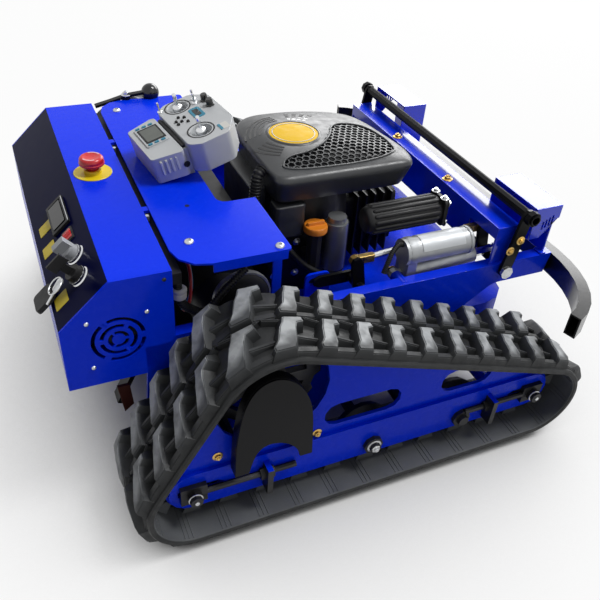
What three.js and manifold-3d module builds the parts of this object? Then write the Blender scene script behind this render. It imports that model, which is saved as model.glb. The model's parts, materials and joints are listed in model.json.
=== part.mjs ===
// Remote control slope mower: tracked chassis with a hanging cutting deck, its engine and a rear control box.
// X runs towards the front bumper, Y to the left side and Z up. All lengths are in millimetres.
import * as THREE from 'three'
import { mergeVertices } from 'three/addons/utils/BufferGeometryUtils.js'
import Module from 'manifold-3d'

const wasm = await Module()
wasm.setup()

// Clearances and stock sizes
const seat = 0.3
const overrun = 4
const sheet = 3
const heavySheet = 6
const runningGap = 0.5
const pinGap = 2

// Undercarriage: belt, wheels and the plates either side of them
const beltWidth = 150
const beltInside = 285
const beltThickness = 10
const lugHeight = 18
const lugPitch = 60
const linkCount = 30
const sprocketTeeth = 10
const idlerRadius = 66
const roadWheelRadius = 52
const wheelWidth = 24
const wheelClearance = 0.8
const cogHeight = 20
const cogWidth = 11
const cogSideGap = 2
const rearAxleX = 68
const sprocketX = 190
const sprocketZ = 247
const rearRoadWheelX = 368
const frontRoadWheelX = 538
const sideFace = 272
const frameFace = 392
const railThickness = 6
const railHalfHeight = 36.5
const axleRadius = 10

// Chassis
const chassisTop = 288
const chassisRear = 42
const chassisFront = 766
const chassisFlange = 20

// Control box at the rear
const boxHalfWidth = 284
const boxRear = -70
const boxTopRear = 0
const boxFront = 83
const boxTop = 411
const boxShoulder = 345
const boxBottom = 240
const boxStepX = 40

// Top cover plate
const coverRear = 92
const coverFront = 255
const coverHalfWidth = 285
const coverCutX = 195
const coverCutHalfWidth = 136

// Cutting deck, blade and engine
const deckTop = 178
const deckBottom = 70
const deckRear = 118
const deckFront = 735
const deckHalfWidth = 245
const deckWall = 3
const engineX = 375
const bladeRadius = 232
const shroudRim = 426
const shroudDepth = 44
const shroudWall = 3

// Lift linkage
const liftX = 663
const liftZ = 275
const liftRearX = 418
const liftLever = 60
const tieRodArmX = -8
const tieRodArmZ = 47
const crossbarX = 680
const crossbarZ = 382
const tieRodY = 200
const hangerY = 172
const actuatorY = 230
const actuatorPinX = 470
const actuatorPinZ = 280
const actuatorEyeX = 694
const actuatorEyeZ = 294
const hangerPinRadius = 5
const eyeRadius = 10
const eyeHalf = 5
const rodEyeHalf = 9

// Values that follow from the driving dimensions
const shroudSkirt = shroudRim - shroudDepth
const engineRise = shroudSkirt - deckTop
const groundToBelt = lugHeight
const axleZ = groundToBelt + beltThickness + idlerRadius
const beltMiddle = beltThickness / 2
const idlerNeutral = idlerRadius + beltMiddle
const sprocketNeutral = sprocketTeeth * lugPitch / (2 * Math.PI)
const beltCentreY = beltInside + beltWidth / 2
const wheelOutside = beltCentreY + wheelWidth / 2
const sideInner = sideFace - heavySheet
const frameInner = frameFace - heavySheet
const railFace = frameFace + railThickness
const roadWheelZ = groundToBelt + beltThickness + roadWheelRadius

// Shapes and solids

const filletSteps = 3
const largeRound = 20
const mediumRound = 14
const smallRound = 8
const hexSides = 6
const fullTurn = 2 * Math.PI
const eyeBoreRadius = (hangerPinRadius + pinGap) / Math.cos(Math.PI / smallRound)

// Points of a closed outline whose corners may carry a fillet radius as their third number.
function filleted(corners, steps = filletSteps) {
  const points = []
  corners.forEach(([x, y, radius = 0], i) => {
    const here = new THREE.Vector2(x, y)
    if (radius === 0) {
      points.push(here)
      return
    }
    const previous = corners.at(i - 1)
    const next = corners[(i + 1) % corners.length]
    const back = new THREE.Vector2(previous[0], previous[1]).sub(here).normalize()
    const ahead = new THREE.Vector2(next[0], next[1]).sub(here).normalize()
    const half = Math.acos(back.dot(ahead)) / 2
    const bisector = back.clone().add(ahead).normalize()
    const centre = here.clone().addScaledVector(bisector, radius / Math.sin(half))
    const start = here.clone().addScaledVector(back, radius / Math.tan(half)).sub(centre)
    const end = here.clone().addScaledVector(ahead, radius / Math.tan(half)).sub(centre)
    const from = start.angle()
    const sweep = Math.atan2(start.cross(end), start.dot(end))
    for (let k = 0; k <= steps; k += 1) {
      const angle = from + sweep * k / steps
      points.push(new THREE.Vector2(centre.x + radius * Math.cos(angle), centre.y + radius * Math.sin(angle)))
    }
  })
  return points
}

function arc(x, y, radius, from, to, steps) {
  const points = []
  for (let k = 0; k <= steps; k += 1) {
    const angle = from + (to - from) * k / steps
    points.push(new THREE.Vector2(x + radius * Math.cos(angle), y + radius * Math.sin(angle)))
  }
  return points
}

function circle(x, y, radius, sides) {
  return arc(x, y, radius, 0, fullTurn * (sides - 1) / sides, sides - 1)
}

// Hole whose flats clear a round shaft of the given radius.
function holeOutline(x, y, radius) {
  return circle(x, y, radius / Math.cos(Math.PI / mediumRound), mediumRound)
}

function rectangle(x0, x1, y0, y1, radius = 0) {
  return filleted([[x0, y0, radius], [x1, y0, radius], [x1, y1, radius], [x0, y1, radius]])
}

// Slot with round ends, from one end centre to the other.
function slotOutline(x0, y0, x1, y1, radius, steps) {
  const lean = Math.atan2(y1 - y0, x1 - x0)
  const first = arc(x0, y0, radius, lean + Math.PI / 2, lean + Math.PI * 3 / 2, steps)
  return first.concat(arc(x1, y1, radius, lean - Math.PI / 2, lean + Math.PI / 2, steps))
}

function extruded(points, depth, holes) {
  const shape = new THREE.Shape(points)
  shape.holes = holes.map((hole) => new THREE.Path(hole))
  return new THREE.ExtrudeGeometry(shape, { depth, bevelEnabled: false })
}

// Outline in the X and Y plane, raised between two heights.
function alongZ(points, low, high, holes = []) {
  return extruded(points, high - low, holes).translate(0, 0, low)
}

// Outline in the X and Z plane, between two Y positions.
function alongY(points, low, high, holes = []) {
  return extruded(points, high - low, holes).rotateX(Math.PI / 2).translate(0, high, 0)
}

// Outline in the Y and Z plane, between two X positions.
function alongX(points, low, high, holes = []) {
  const turn = new THREE.Matrix4()
  turn.makeBasis(new THREE.Vector3(0, 1, 0), new THREE.Vector3(0, 0, 1), new THREE.Vector3(1, 0, 0))
  return extruded(points, high - low, holes).applyMatrix4(turn).translate(low, 0, 0)
}

function block(x0, x1, y0, y1, z0, z1) {
  const box = new THREE.BoxGeometry(x1 - x0, y1 - y0, z1 - z0)
  return box.translate((x0 + x1) / 2, (y0 + y1) / 2, (z0 + z1) / 2)
}

// Round bar or cone from one point to another.
function rod(from, to, radius, sides, endRadius = radius) {
  const start = new THREE.Vector3(...from)
  const end = new THREE.Vector3(...to)
  const along = end.clone().sub(start)
  const bar = new THREE.CylinderGeometry(endRadius, radius, along.length(), sides)
  const turn = new THREE.Quaternion().setFromUnitVectors(new THREE.Vector3(0, 1, 0), along.normalize())
  bar.applyQuaternion(turn)
  const middle = start.add(end).multiplyScalar(1 / 2)
  return bar.translate(middle.x, middle.y, middle.z)
}

// Turned form: [radius, distance] pairs from an origin along a direction, from axis to axis.
function turned(profile, origin, direction, sides) {
  const points = profile.map(([radius, distance]) => new THREE.Vector2(radius, distance))
  const form = new THREE.LatheGeometry(points, sides)
  const up = new THREE.Vector3(0, 1, 0)
  form.applyQuaternion(new THREE.Quaternion().setFromUnitVectors(up, new THREE.Vector3(...direction)))
  return form.translate(...origin)
}

// Section carried along a path, upright in the given frame direction.
function swept(section, path, steps) {
  const shape = new THREE.Shape(section)
  return new THREE.ExtrudeGeometry(shape, { steps, bevelEnabled: false, extrudePath: path })
}

function toSolid(geometry) {
  const bare = geometry.clone()
  bare.deleteAttribute('normal')
  bare.deleteAttribute('uv')
  const closed = mergeVertices(bare)
  const vertProperties = new Float32Array(closed.attributes.position.array)
  const triVerts = new Uint32Array(closed.index.array)
  return new wasm.Manifold(new wasm.Mesh({ numProp: 3, vertProperties, triVerts }))
}

function toGeometry(manifold) {
  const mesh = manifold.getMesh()
  const geometry = new THREE.BufferGeometry()
  geometry.setAttribute('position', new THREE.BufferAttribute(mesh.vertProperties, 3))
  geometry.setIndex(new THREE.BufferAttribute(mesh.triVerts, 1))
  return geometry
}

function join(...geometries) {
  const solids = geometries.flat().map(toSolid)
  return toGeometry(solids.reduce((whole, next) => whole.add(next)))
}

function cut(body, ...tools) {
  const solids = tools.flat().map(toSolid)
  return toGeometry(solids.reduce((whole, next) => whole.subtract(next), toSolid(body)))
}

// The same piece on the other side of the centre plane.
function mirrored(geometry) {
  const copy = geometry.clone().scale(1, -1, 1)
  const index = copy.index.array
  for (let i = 0; i < index.length; i += 3) {
    const first = index[i]
    index[i] = index[i + 1]
    index[i + 1] = first
  }
  return copy
}

// The assembly and its finishes

const group = new THREE.Group()

const finishes = {
  bluePaint: { color: 0x0a37e6, roughness: 0.32, metalness: 0.1 },
  blackPaint: { color: 0x15161a, roughness: 0.45, metalness: 0.2 },
  trackRubber: { color: 0x3c4042, roughness: 0.85, metalness: 0 },
  blackPlastic: { color: 0x1b1c1f, roughness: 0.6, metalness: 0 },
  shroudPlastic: { color: 0x3b3e44, roughness: 0.55, metalness: 0 },
  steel: { color: 0x9a9da2, roughness: 0.35, metalness: 0.9 },
  aluminium: { color: 0xb9bdc2, roughness: 0.4, metalness: 0.8 },
  zinc: { color: 0xc8a24a, roughness: 0.35, metalness: 0.85 },
  yellowPlastic: { color: 0xf2d21a, roughness: 0.5, metalness: 0 },
  redPlastic: { color: 0xd4262b, roughness: 0.35, metalness: 0 },
  orangePlastic: { color: 0xf09a1e, roughness: 0.4, metalness: 0 },
  palePlastic: { color: 0xc3c7cc, roughness: 0.5, metalness: 0 },
}

function piece(name, geometry, finish) {
  const material = new THREE.MeshStandardMaterial(finishes[finish])
  const solid = geometry.index ? geometry : join(geometry)
  const mesh = new THREE.Mesh(solid, material)
  mesh.name = name
  group.add(mesh)
}

function pair(name, geometry, finish) {
  const solid = join(geometry)
  piece(`${name}_left`, solid, finish)
  piece(`${name}_right`, mirrored(solid), finish)
}

// Belt line: the hull of the three wheel circles, with the front axle set by the belt's length

function beltWheels(frontX) {
  const rear = { x: rearAxleX, z: axleZ, radius: idlerNeutral, steps: 8 }
  const front = { x: frontX, z: axleZ, radius: idlerNeutral, steps: 8 }
  const top = { x: sprocketX, z: sprocketZ, radius: sprocketNeutral, steps: 7 }
  return [rear, front, top]
}

// Outward normal of the belt run from one wheel to the next.
function runNormal(first, second) {
  const dx = second.x - first.x
  const dz = second.z - first.z
  const length = Math.hypot(dx, dz)
  const sine = (first.radius - second.radius) / length
  const cosine = Math.sqrt(1 - sine * sine)
  return { x: (dx * sine + dz * cosine) / length, z: (dz * sine - dx * cosine) / length }
}

// Each wheel's wrapped arc and the straight run that follows it.
function beltStretches(wheels) {
  return wheels.map((wheel, i) => {
    const next = wheels[(i + 1) % wheels.length]
    const entering = runNormal(wheels.at(i - 1), wheel)
    const leaving = runNormal(wheel, next)
    const from = Math.atan2(entering.z, entering.x)
    const turn = Math.atan2(leaving.z, leaving.x) - from
    const wrap = turn < 0 ? turn + fullTurn : turn
    const centres = Math.hypot(next.x - wheel.x, next.z - wheel.z)
    const run = Math.sqrt(centres ** 2 - (wheel.radius - next.radius) ** 2)
    return { wheel, from, wrap, run }
  })
}

function beltLength(frontX) {
  return beltStretches(beltWheels(frontX)).reduce(
    (sum, part) => sum + part.wrap * part.wheel.radius + part.run, 0,
  )
}

function solveFrontAxle() {
  const target = linkCount * lugPitch
  let low = rearAxleX
  let high = rearAxleX + target
  for (let k = 0; k < 60; k += 1) {
    const middle = (low + high) / 2
    if (beltLength(middle) < target) low = middle
    else high = middle
  }
  return low
}

const frontAxleX = solveFrontAxle()
const stretches = beltStretches(beltWheels(frontAxleX))

// Closed outline at a distance outside the belt's middle line, in flats that touch each wheel's circle.
function beltOutline(offset) {
  return stretches.flatMap(({ wheel, from, wrap }) => {
    const half = wrap / wheel.steps / 2
    const radius = (wheel.radius + offset) / Math.cos(half)
    return arc(wheel.x, wheel.z, radius, from + half, from + wrap - half, wheel.steps - 1)
  })
}

// Point of the belt's middle line and the direction out of the belt there.
function beltPoint(travel) {
  let rest = ((travel % (linkCount * lugPitch)) + linkCount * lugPitch) % (linkCount * lugPitch)
  for (const { wheel, from, wrap, run } of stretches) {
    const arcLength = wrap * wheel.radius
    const angle = from + Math.min(rest, arcLength) / wheel.radius
    const out = { x: Math.cos(angle), z: Math.sin(angle) }
    const straight = Math.max(rest - arcLength, 0)
    if (rest <= arcLength + run) {
      const x = wheel.x + out.x * wheel.radius - out.z * straight
      const z = wheel.z + out.z * wheel.radius + out.x * straight
      return { x, z, out }
    }
    rest -= arcLength + run
  }
  return beltPoint(0)
}

// Bends a form from a flat belt on to the belt line: X runs forward along the upper run, Z out of the belt.
function onBelt(geometry, travel) {
  const bent = geometry.clone()
  const places = bent.attributes.position
  for (let i = 0; i < places.count; i += 1) {
    const { x, z, out } = beltPoint(travel - places.getX(i))
    const height = places.getZ(i)
    places.setXYZ(i, x + out.x * height, places.getY(i), z + out.z * height)
  }
  return bent
}

// Four-sided block whose top may be smaller and shifted: corners round the base, then round the top.
function hull8(base, top, low, high) {
  const corners = base.map(([x, y]) => [x, y, low]).concat(top.map(([x, y, z = high]) => [x, y, z]))
  const faces = [0, 2, 1, 0, 3, 2, 4, 5, 6, 4, 6, 7]
  for (let k = 0; k < 4; k += 1) {
    const n = (k + 1) % 4
    faces.push(k, n, n + 4, k, n + 4, k + 4)
  }
  const geometry = new THREE.BufferGeometry()
  geometry.setAttribute('position', new THREE.Float32BufferAttribute(corners.flat(), 3))
  geometry.setIndex(faces)
  return geometry
}

// Rubber track: moulded belt with two staggered rows of slanting lugs outside and a row of guide cogs inside

const lugTopWidth = 13
const lugFootWidth = 24
const lugAdvance = 27
const lugRowInset = 8
const lugRowLength = beltWidth / 2 - lugRowInset
const lugRoot = 3
const lugEndSlope = 14
const cogLength = 34

// One slanting lug: its crown lies at the row's inner end, and the ridge runs forward and outward.
function lugForm(rowInside) {
  const low = beltMiddle - lugRoot
  const high = beltMiddle + lugHeight
  const inner = rowInside
  const outer = rowInside + lugRowLength
  const halfTop = lugTopWidth / 2
  const halfFoot = lugFootWidth / 2
  const base = [
    [-halfFoot, inner], [halfFoot, inner], [lugAdvance + halfFoot, outer], [lugAdvance - halfFoot, outer],
  ]
  const topOuter = outer - lugEndSlope
  const ridge = [[-halfTop, inner + lugRoot], [halfTop, inner + lugRoot]]
  const ridgeEnd = [[lugAdvance + halfTop, topOuter], [lugAdvance - halfTop, topOuter]]
  return hull8(base, ridge.concat(ridgeEnd), low, high)
}

// Guide cog: a tent-shaped tooth on the belt's inner face.
function cogForm(cogInside) {
  const crest = -beltMiddle - cogHeight
  const root = -beltMiddle + lugRoot
  const foot = cogLength / 2
  const inner = cogInside
  const outer = cogInside + cogWidth
  const tent = [[-foot, root], [0, crest], [foot, root]].map(([x, z]) => new THREE.Vector2(x, z))
  return alongY(tent, inner, outer)
}

function rubberTrack() {
  const belt = alongY(beltOutline(beltMiddle), beltInside, beltInside + beltWidth, [beltOutline(-beltMiddle)])
  const innerRow = beltInside + lugRowInset / 2
  const outerRow = beltCentreY + lugRowInset / 2
  const forms = []
  for (let k = 0; k < linkCount; k += 1) {
    const travel = k * lugPitch
    const staggered = travel + lugPitch / 2
    forms.push(onBelt(lugForm(innerRow), travel))
    forms.push(onBelt(lugForm(outerRow), staggered))
    forms.push(onBelt(cogForm(wheelOutside + cogSideGap), travel))
  }
  return join(belt, forms)
}

pair('rubber_track', rubberTrack(), 'trackRubber')

// Idlers and road wheels: spoked discs with a hub that turns on its axle

const wheelRimShare = 0.2
const wheelWebHalf = 5
const wheelFacets = 16

// Wheel with a rim that stands out on both sides of its web.
function idlerWheel(x, z, radius) {
  const outer = radius - wheelClearance
  const rim = radius * (1 - wheelRimShare)
  const half = wheelWidth / 2
  const bore = axleRadius + runningGap
  const profile = [
    [bore, -half], [rim, -wheelWebHalf], [rim, -half], [outer, -half],
    [outer, half], [rim, half], [rim, wheelWebHalf], [bore, half], [bore, -half],
  ]
  return turned(profile, [x, beltCentreY, z], [0, 1, 0], wheelFacets)
}

function roadWheel(x) {
  const outer = roadWheelRadius - wheelClearance
  const half = wheelWidth / 2
  const bore = axleRadius + runningGap
  const profile = [
    [bore, -half], [outer - wheelWebHalf, -half], [outer, 0], [outer - wheelWebHalf, half], [bore, half],
    [bore, -half],
  ]
  return turned(profile, [x, beltCentreY, roadWheelZ], [0, 1, 0], wheelFacets)
}

pair('front_idler', idlerWheel(frontAxleX, axleZ, idlerRadius), 'blackPaint')
pair('rear_idler', idlerWheel(rearAxleX, axleZ, idlerRadius), 'blackPaint')
pair('front_road_wheel', roadWheel(frontRoadWheelX), 'blackPaint')
pair('rear_road_wheel', roadWheel(rearRoadWheelX), 'blackPaint')

// Drive sprocket: a toothed ring with windows, on the gear motor's shaft

const toothDepth = 8
const toothRootShare = 0.34
const toothTipShare = 0.2
const sprocketRim = 16
const sprocketHub = 26
const windowCount = 5
const windowShare = 0.72
const shaftRadius = 14
const sprocketPlate = 12

function driveSprocket() {
  const tip = sprocketNeutral - beltMiddle - wheelClearance
  const root = tip - toothDepth
  const outline = []
  for (let k = 0; k < sprocketTeeth; k += 1) {
    const middle = fullTurn * k / sprocketTeeth
    const halfRoot = fullTurn * toothRootShare / sprocketTeeth
    const halfTip = fullTurn * toothTipShare / sprocketTeeth
    const corners = [[root, -halfRoot], [tip, -halfTip], [tip, halfTip], [root, halfRoot]]
    corners.forEach(([radius, lean]) => {
      const angle = middle + lean
      outline.push(
        new THREE.Vector2(sprocketX + radius * Math.cos(angle), sprocketZ + radius * Math.sin(angle)),
      )
    })
  }
  const windows = []
  for (let k = 0; k < windowCount; k += 1) {
    const from = fullTurn * k / windowCount
    const to = from + fullTurn * windowShare / windowCount
    const outer = arc(sprocketX, sprocketZ, root - sprocketRim, from, to, 3)
    const inner = arc(sprocketX, sprocketZ, sprocketHub + sprocketRim / 2, to, from, 2)
    windows.push(outer.concat(inner))
  }
  const disc = alongY(
    outline, beltCentreY - wheelWidth / 2, beltCentreY - wheelWidth / 2 + sprocketPlate, windows,
  )
  const hub = rod(
    [sprocketX, sideFace + sprocketPlate, sprocketZ], [sprocketX, wheelOutside, sprocketZ], sprocketHub,
    mediumRound,
  )
  const shaft = rod(
    [sprocketX, sideInner - heavySheet, sprocketZ], [sprocketX, beltCentreY, sprocketZ], shaftRadius,
    mediumRound,
  )
  return join(disc, hub, shaft)
}

pair('drive_sprocket', driveSprocket(), 'steel')

// Gear motor: finned can with a domed rear end, bolted inside the side plate

const motorRadius = 55
const motorLength = 110
const motorDome = 16
const motorFlange = 10
const motorNoseShare = 0.55
const motorWaistShare = 0.8

function gearMotor() {
  const face = sideInner - seat - heavySheet
  const nose = sideInner - seat
  const bore = shaftRadius + runningGap
  const profile = [
    [0, -motorLength], [motorRadius * motorNoseShare, -motorLength],
    [motorRadius - motorDome / 2, motorDome / 2 - motorLength],
    [motorRadius, motorDome - motorLength], [motorRadius, -motorFlange * 4],
    [motorRadius * motorWaistShare, -motorFlange * 3],
    [motorRadius * motorWaistShare, -motorFlange], [motorRadius, -motorFlange], [motorRadius, nose - face],
    [bore, nose - face], [bore, -motorFlange / 2], [0, -motorFlange / 2],
  ]
  return turned(profile, [sprocketX, face, sprocketZ], [0, 1, 0], mediumRound)
}
pair('gear_motor', gearMotor(), 'blackPaint')

// Chassis side plate: the inner wall of the undercarriage, folded inwards along its top edge

const sideNoseZ = 248
const sideNoseX = 759
const sideStepX = 650
const sideArcShoulderX = 590
const sideArcShoulderZ = 205
const sideArcFootX = 560
const sideArcFootZ = 165
const sideRailX = 545
const flangeSheet = 4
const motorOpening = 32
const slotHalfHeight = 10.5
const slotOuterReach = 14
const slotInnerReach = 38

function axleSlot(x, inward) {
  const outer = x - inward * slotOuterReach
  const inner = x + inward * slotInnerReach
  return slotOutline(Math.min(outer, inner), axleZ, Math.max(outer, inner), axleZ, slotHalfHeight, 3)
}

const liftShaftRadius = 7
const stubRadius = 9

function chassisSide() {
  const railTop = axleZ + railHalfHeight
  const railLow = axleZ - railHalfHeight
  const rearLobe = arc(rearAxleX, axleZ, railHalfHeight, Math.PI, Math.PI * 3 / 2, 6)
  const frontLobe = arc(frontAxleX, axleZ, railHalfHeight, -Math.PI / 2, Math.PI / 2, 8)
  const upper = filleted([
    [sideRailX, railTop, railHalfHeight / 2], [sideArcFootX, sideArcFootZ, railHalfHeight / 2],
    [sideArcShoulderX, sideArcShoulderZ, railHalfHeight], [sideStepX, sideNoseZ, railHalfHeight],
    [sideNoseX, sideNoseZ], [chassisFront, chassisTop], [chassisRear, chassisTop],
    [chassisRear, boxBottom - sheet],
  ])
  const outline = rearLobe.concat(frontLobe, upper)
  const holes = [
    circle(sprocketX, sprocketZ, motorOpening, mediumRound),
    holeOutline(liftX, liftZ, liftShaftRadius + runningGap),
    holeOutline(liftRearX, liftZ - liftRearDrop, stubRadius + runningGap),
    axleSlot(rearAxleX, 1),
    axleSlot(frontAxleX, -1),
  ]
  const web = alongY(outline, sideInner, sideFace, holes)
  const flangeLow = chassisTop - flangeSheet
  const flange = block(
    chassisRear, chassisFront, sideFace - chassisFlange, sideFace - heavySheet / 2, flangeLow, chassisTop,
  )
  const motorRoom = rod(
    [sprocketX, 0, sprocketZ], [sprocketX, sideInner, sprocketZ], motorRadius + pinGap, mediumRound,
  )
  const bossFace = actuatorY + eyeHalf + seat
  const boss = rod(
    [actuatorPinX, bossFace, actuatorPinZ], [actuatorPinX, sideInner + seat, actuatorPinZ], eyeRadius,
    mediumRound,
  )
  const pinEnd = actuatorY - eyeHalf - seat
  const pin = rod(
    [actuatorPinX, pinEnd, actuatorPinZ], [actuatorPinX, sideInner, actuatorPinZ], hangerPinRadius,
    smallRound,
  )
  return join(web, cut(flange, motorRoom), boss, pin)
}

const liftRearDrop = 22

pair('chassis_side', chassisSide(), 'bluePaint')

// Outer track frame: plate with lightening ovals, rail doubler, tensioner ears, axles and spacer tubes

const frameEndRadius = 40
const frameBeltGap = 7
const frameCornerShare = 0.12
const sprocketOpening = 88
const ovalHalfHeight = 22
const rearOvalX = 344
const frontOvalX = 536
const ovalZ = 168
const rearOvalHalf = 67
const frontOvalHalf = 50
const earRearX = 182
const earFrontX = 590
const earThickness = 9
const earHeight = 52
const earReach = 22
const screwRadius = 5
const axleBlockLength = 40
const axleBlockHeight = 34
const axleBlockDepth = 8
const axleNutRadius = 12
const axleNutDepth = 7
const screwTail = 48
const spacerRadius = 11

function ovalOutline(x, halfLength) {
  return slotOutline(
    x - halfLength + ovalHalfHeight, ovalZ, x + halfLength - ovalHalfHeight, ovalZ, ovalHalfHeight, 5,
  )
}

// Plate edge: round at both axles, and along the belt's upper run in between.
function framePlateOutline() {
  const [, front, top] = stretches
  const inset = beltMiddle + frameBeltGap
  const onWheel = ({ wheel }, angle) => {
    const reach = wheel.radius - inset
    return new THREE.Vector2(wheel.x + reach * Math.cos(angle), wheel.z + reach * Math.sin(angle))
  }
  const upperRun = front.from + front.wrap
  const upperFront = onWheel(front, upperRun)
  const upperRear = onWheel(top, upperRun)
  const corner = upperFront.clone().lerp(upperRear, frameCornerShare)
  const rearLobe = arc(rearAxleX, axleZ, frameEndRadius, Math.PI, Math.PI * 3 / 2, 6)
  const frontLobe = arc(frontAxleX, axleZ, frameEndRadius, -Math.PI / 2, Math.PI / 3, 8)
  return rearLobe.concat(frontLobe, corner, upperRear, onWheel(top, top.from + top.wrap))
}

// Axle with its slide block, nut and the long screw that tightens the belt against the ear.
function tensioner(x, inward, earX) {
  const screwY = railFace + axleBlockDepth / 2 + seat
  const blockHalf = axleBlockLength / 2
  const axle = rod(
    [x, sideInner - axleNutDepth, axleZ], [x, railFace + axleBlockDepth + axleNutDepth * 2, axleZ],
    axleRadius, smallRound,
  )
  const blockLow = railFace - seat
  const shoe = block(
    x - blockHalf, x + blockHalf, blockLow, railFace + axleBlockDepth, axleZ - axleBlockHeight / 2,
    axleZ + axleBlockHeight / 2,
  )
  const nutStart = [x, railFace + axleBlockDepth - seat, axleZ]
  const nut = rod(nutStart, [x, nutStart[1] + axleNutDepth, axleZ], axleNutRadius, hexSides)
  const tail = earX + inward * screwTail
  const screw = rod([x, screwY, axleZ], [tail, screwY, axleZ], screwRadius, smallRound)
  const lockNuts = [-1, 1].map((side) => {
    const near = earX + side * (earThickness / 2 - seat)
    return rod([near, screwY, axleZ], [near + side * axleNutDepth, screwY, axleZ], screwRadius * 2, hexSides)
  })
  return [axle, shoe, nut, screw].concat(lockNuts)
}

function trackFrame() {
  const opening = circle(sprocketX, sprocketZ, sprocketOpening, largeRound)
  const holes = [ovalOutline(rearOvalX, rearOvalHalf), ovalOutline(frontOvalX, frontOvalHalf)]
  const plate = cut(
    alongY(framePlateOutline(), frameInner, frameFace, holes),
    alongY(opening, frameInner - overrun, frameFace + overrun),
  )
  const rail = alongY(
    slotOutline(rearAxleX, axleZ, frontAxleX, axleZ, railHalfHeight, 8), frameFace - seat, railFace,
  )
  const slots = [axleSlot(rearAxleX, 1), axleSlot(frontAxleX, -1)].map(
    (slot) => alongY(slot, frameInner - overrun, railFace + overrun),
  )
  const ears = [earRearX, earFrontX].map((x) => {
    const low = axleZ - railHalfHeight + heavySheet
    return block(
      x - earThickness / 2, x + earThickness / 2, railFace - seat, railFace + earReach, low, low + earHeight,
    )
  })
  const spacerPlaces = [
    [rearAxleX + idlerRadius + spacerRadius * 1.5, axleZ],
    [earRearX + railHalfHeight * 2, axleZ],
    [(rearRoadWheelX + frontRoadWheelX) / 2, axleZ],
    [(frontRoadWheelX + roadWheelRadius + frontAxleX - idlerRadius) / 2, axleZ + spacerRadius * 2],
  ]
  const spacers = spacerPlaces.map(
    ([x, z]) => rod([x, sideFace + seat, z], [x, frameInner + seat, z], spacerRadius, smallRound),
  )
  const roadAxles = [rearRoadWheelX, frontRoadWheelX].flatMap((x) => {
    const shaft = rod(
      [x, sideFace + seat, roadWheelZ], [x, railFace + axleNutDepth * 2, roadWheelZ], axleRadius, smallRound,
    )
    const head = rod(
      [x, railFace - seat, roadWheelZ], [x, railFace + axleNutDepth, roadWheelZ], axleNutRadius + screwRadius,
      smallRound,
    )
    return [shaft, head]
  })
  const body = cut(join(plate, rail), slots)
  return join(
    body, ears, spacers, roadAxles, tensioner(rearAxleX, 1, earRearX), tensioner(frontAxleX, -1, earFrontX),
  )
}

pair('track_frame', trackFrame(), 'bluePaint')

// Sprocket guard: black arched cover over the drive sprocket's opening

const guardDepth = 20
const guardWall = 4
const guardFootRear = 128
const guardFootFront = 258
const guardTop = 275
const guardTopHalf = 13
const guardShoulderZ = 215
const guardFootZ = 124
const archHalf = 38
const archTop = 170
const archRoundShare = 0.9

function sprocketGuard() {
  const middle = (guardFootRear + guardFootFront) / 2
  const half = (guardFootFront - guardFootRear) / 2
  const corners = (inset) => filleted([
    [middle - half + inset, guardFootZ - (inset ? overrun : 0)],
    [middle + half - inset, guardFootZ - (inset ? overrun : 0)],
    [middle + half - archHalf / 2 - inset, guardShoulderZ, archHalf],
    [middle + guardTopHalf - inset / 2, guardTop - inset, archHalf / 4],
    [middle - guardTopHalf + inset / 2, guardTop - inset, archHalf / 4],
    [middle - half + archHalf / 2 + inset, guardShoulderZ, archHalf],
  ])
  const arch = filleted([
    [middle - archHalf, guardFootZ - overrun], [middle + archHalf, guardFootZ - overrun],
    [middle + archHalf, archTop, archHalf * archRoundShare],
    [middle - archHalf, archTop, archHalf * archRoundShare],
  ])
  const low = railFace + seat
  const cover = alongY(corners(0), low, low + guardDepth)
  const hollow = alongY(corners(guardWall), low - overrun, low + guardDepth - guardWall)
  return cut(cover, hollow, alongY(arch, low - overrun, low + guardDepth + overrun))
}

pair('sprocket_guard', sprocketGuard(), 'blackPaint')

// Front crossbeam: channel with a deep apron, notched at both ends over the actuator rods

const beamRear = 636
const beamFront = 680
const beamTop = 358
const beamSheet = 4
const beamNotch = 336
const beamNotchInside = 190
const beamApron = 292
const endPlate = 4

function frontCrossbeam() {
  const half = sideFace - heavySheet
  const low = chassisTop + seat
  const inside = half - endPlate
  const apron = [
    [-beamNotchInside, beamApron], [beamNotchInside, beamApron], [beamNotchInside, beamNotch],
    [inside, beamNotch],
    [inside, low], [half, low], [half, beamTop], [-half, beamTop], [-half, low], [-inside, low],
    [-inside, beamNotch], [-beamNotchInside, beamNotch],
  ].map(([y, z]) => new THREE.Vector2(y, z))
  const solid = alongX(apron, beamRear, beamFront)
  const hollow = block(
    beamRear + beamSheet, beamFront - beamSheet, -inside, inside, low - overrun, beamTop - beamSheet,
  )
  return cut(solid, hollow)
}

piece('front_crossbeam', frontCrossbeam(), 'bluePaint')

// Front hoods: sloping boxes over the side plates' front ends, slotted on their outer sides

const hoodRear = 698
const hoodFront = 752
const hoodInside = 159
const hoodOutside = 276
const hoodTop = 389
const hoodLowFront = 364
const hoodLowRear = 330
const hoodRearFoot = 718
const hoodSlots = 4
const hoodSlotWidth = 3
const hoodSlotHeight = 16
const hoodFlange = 8

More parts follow.
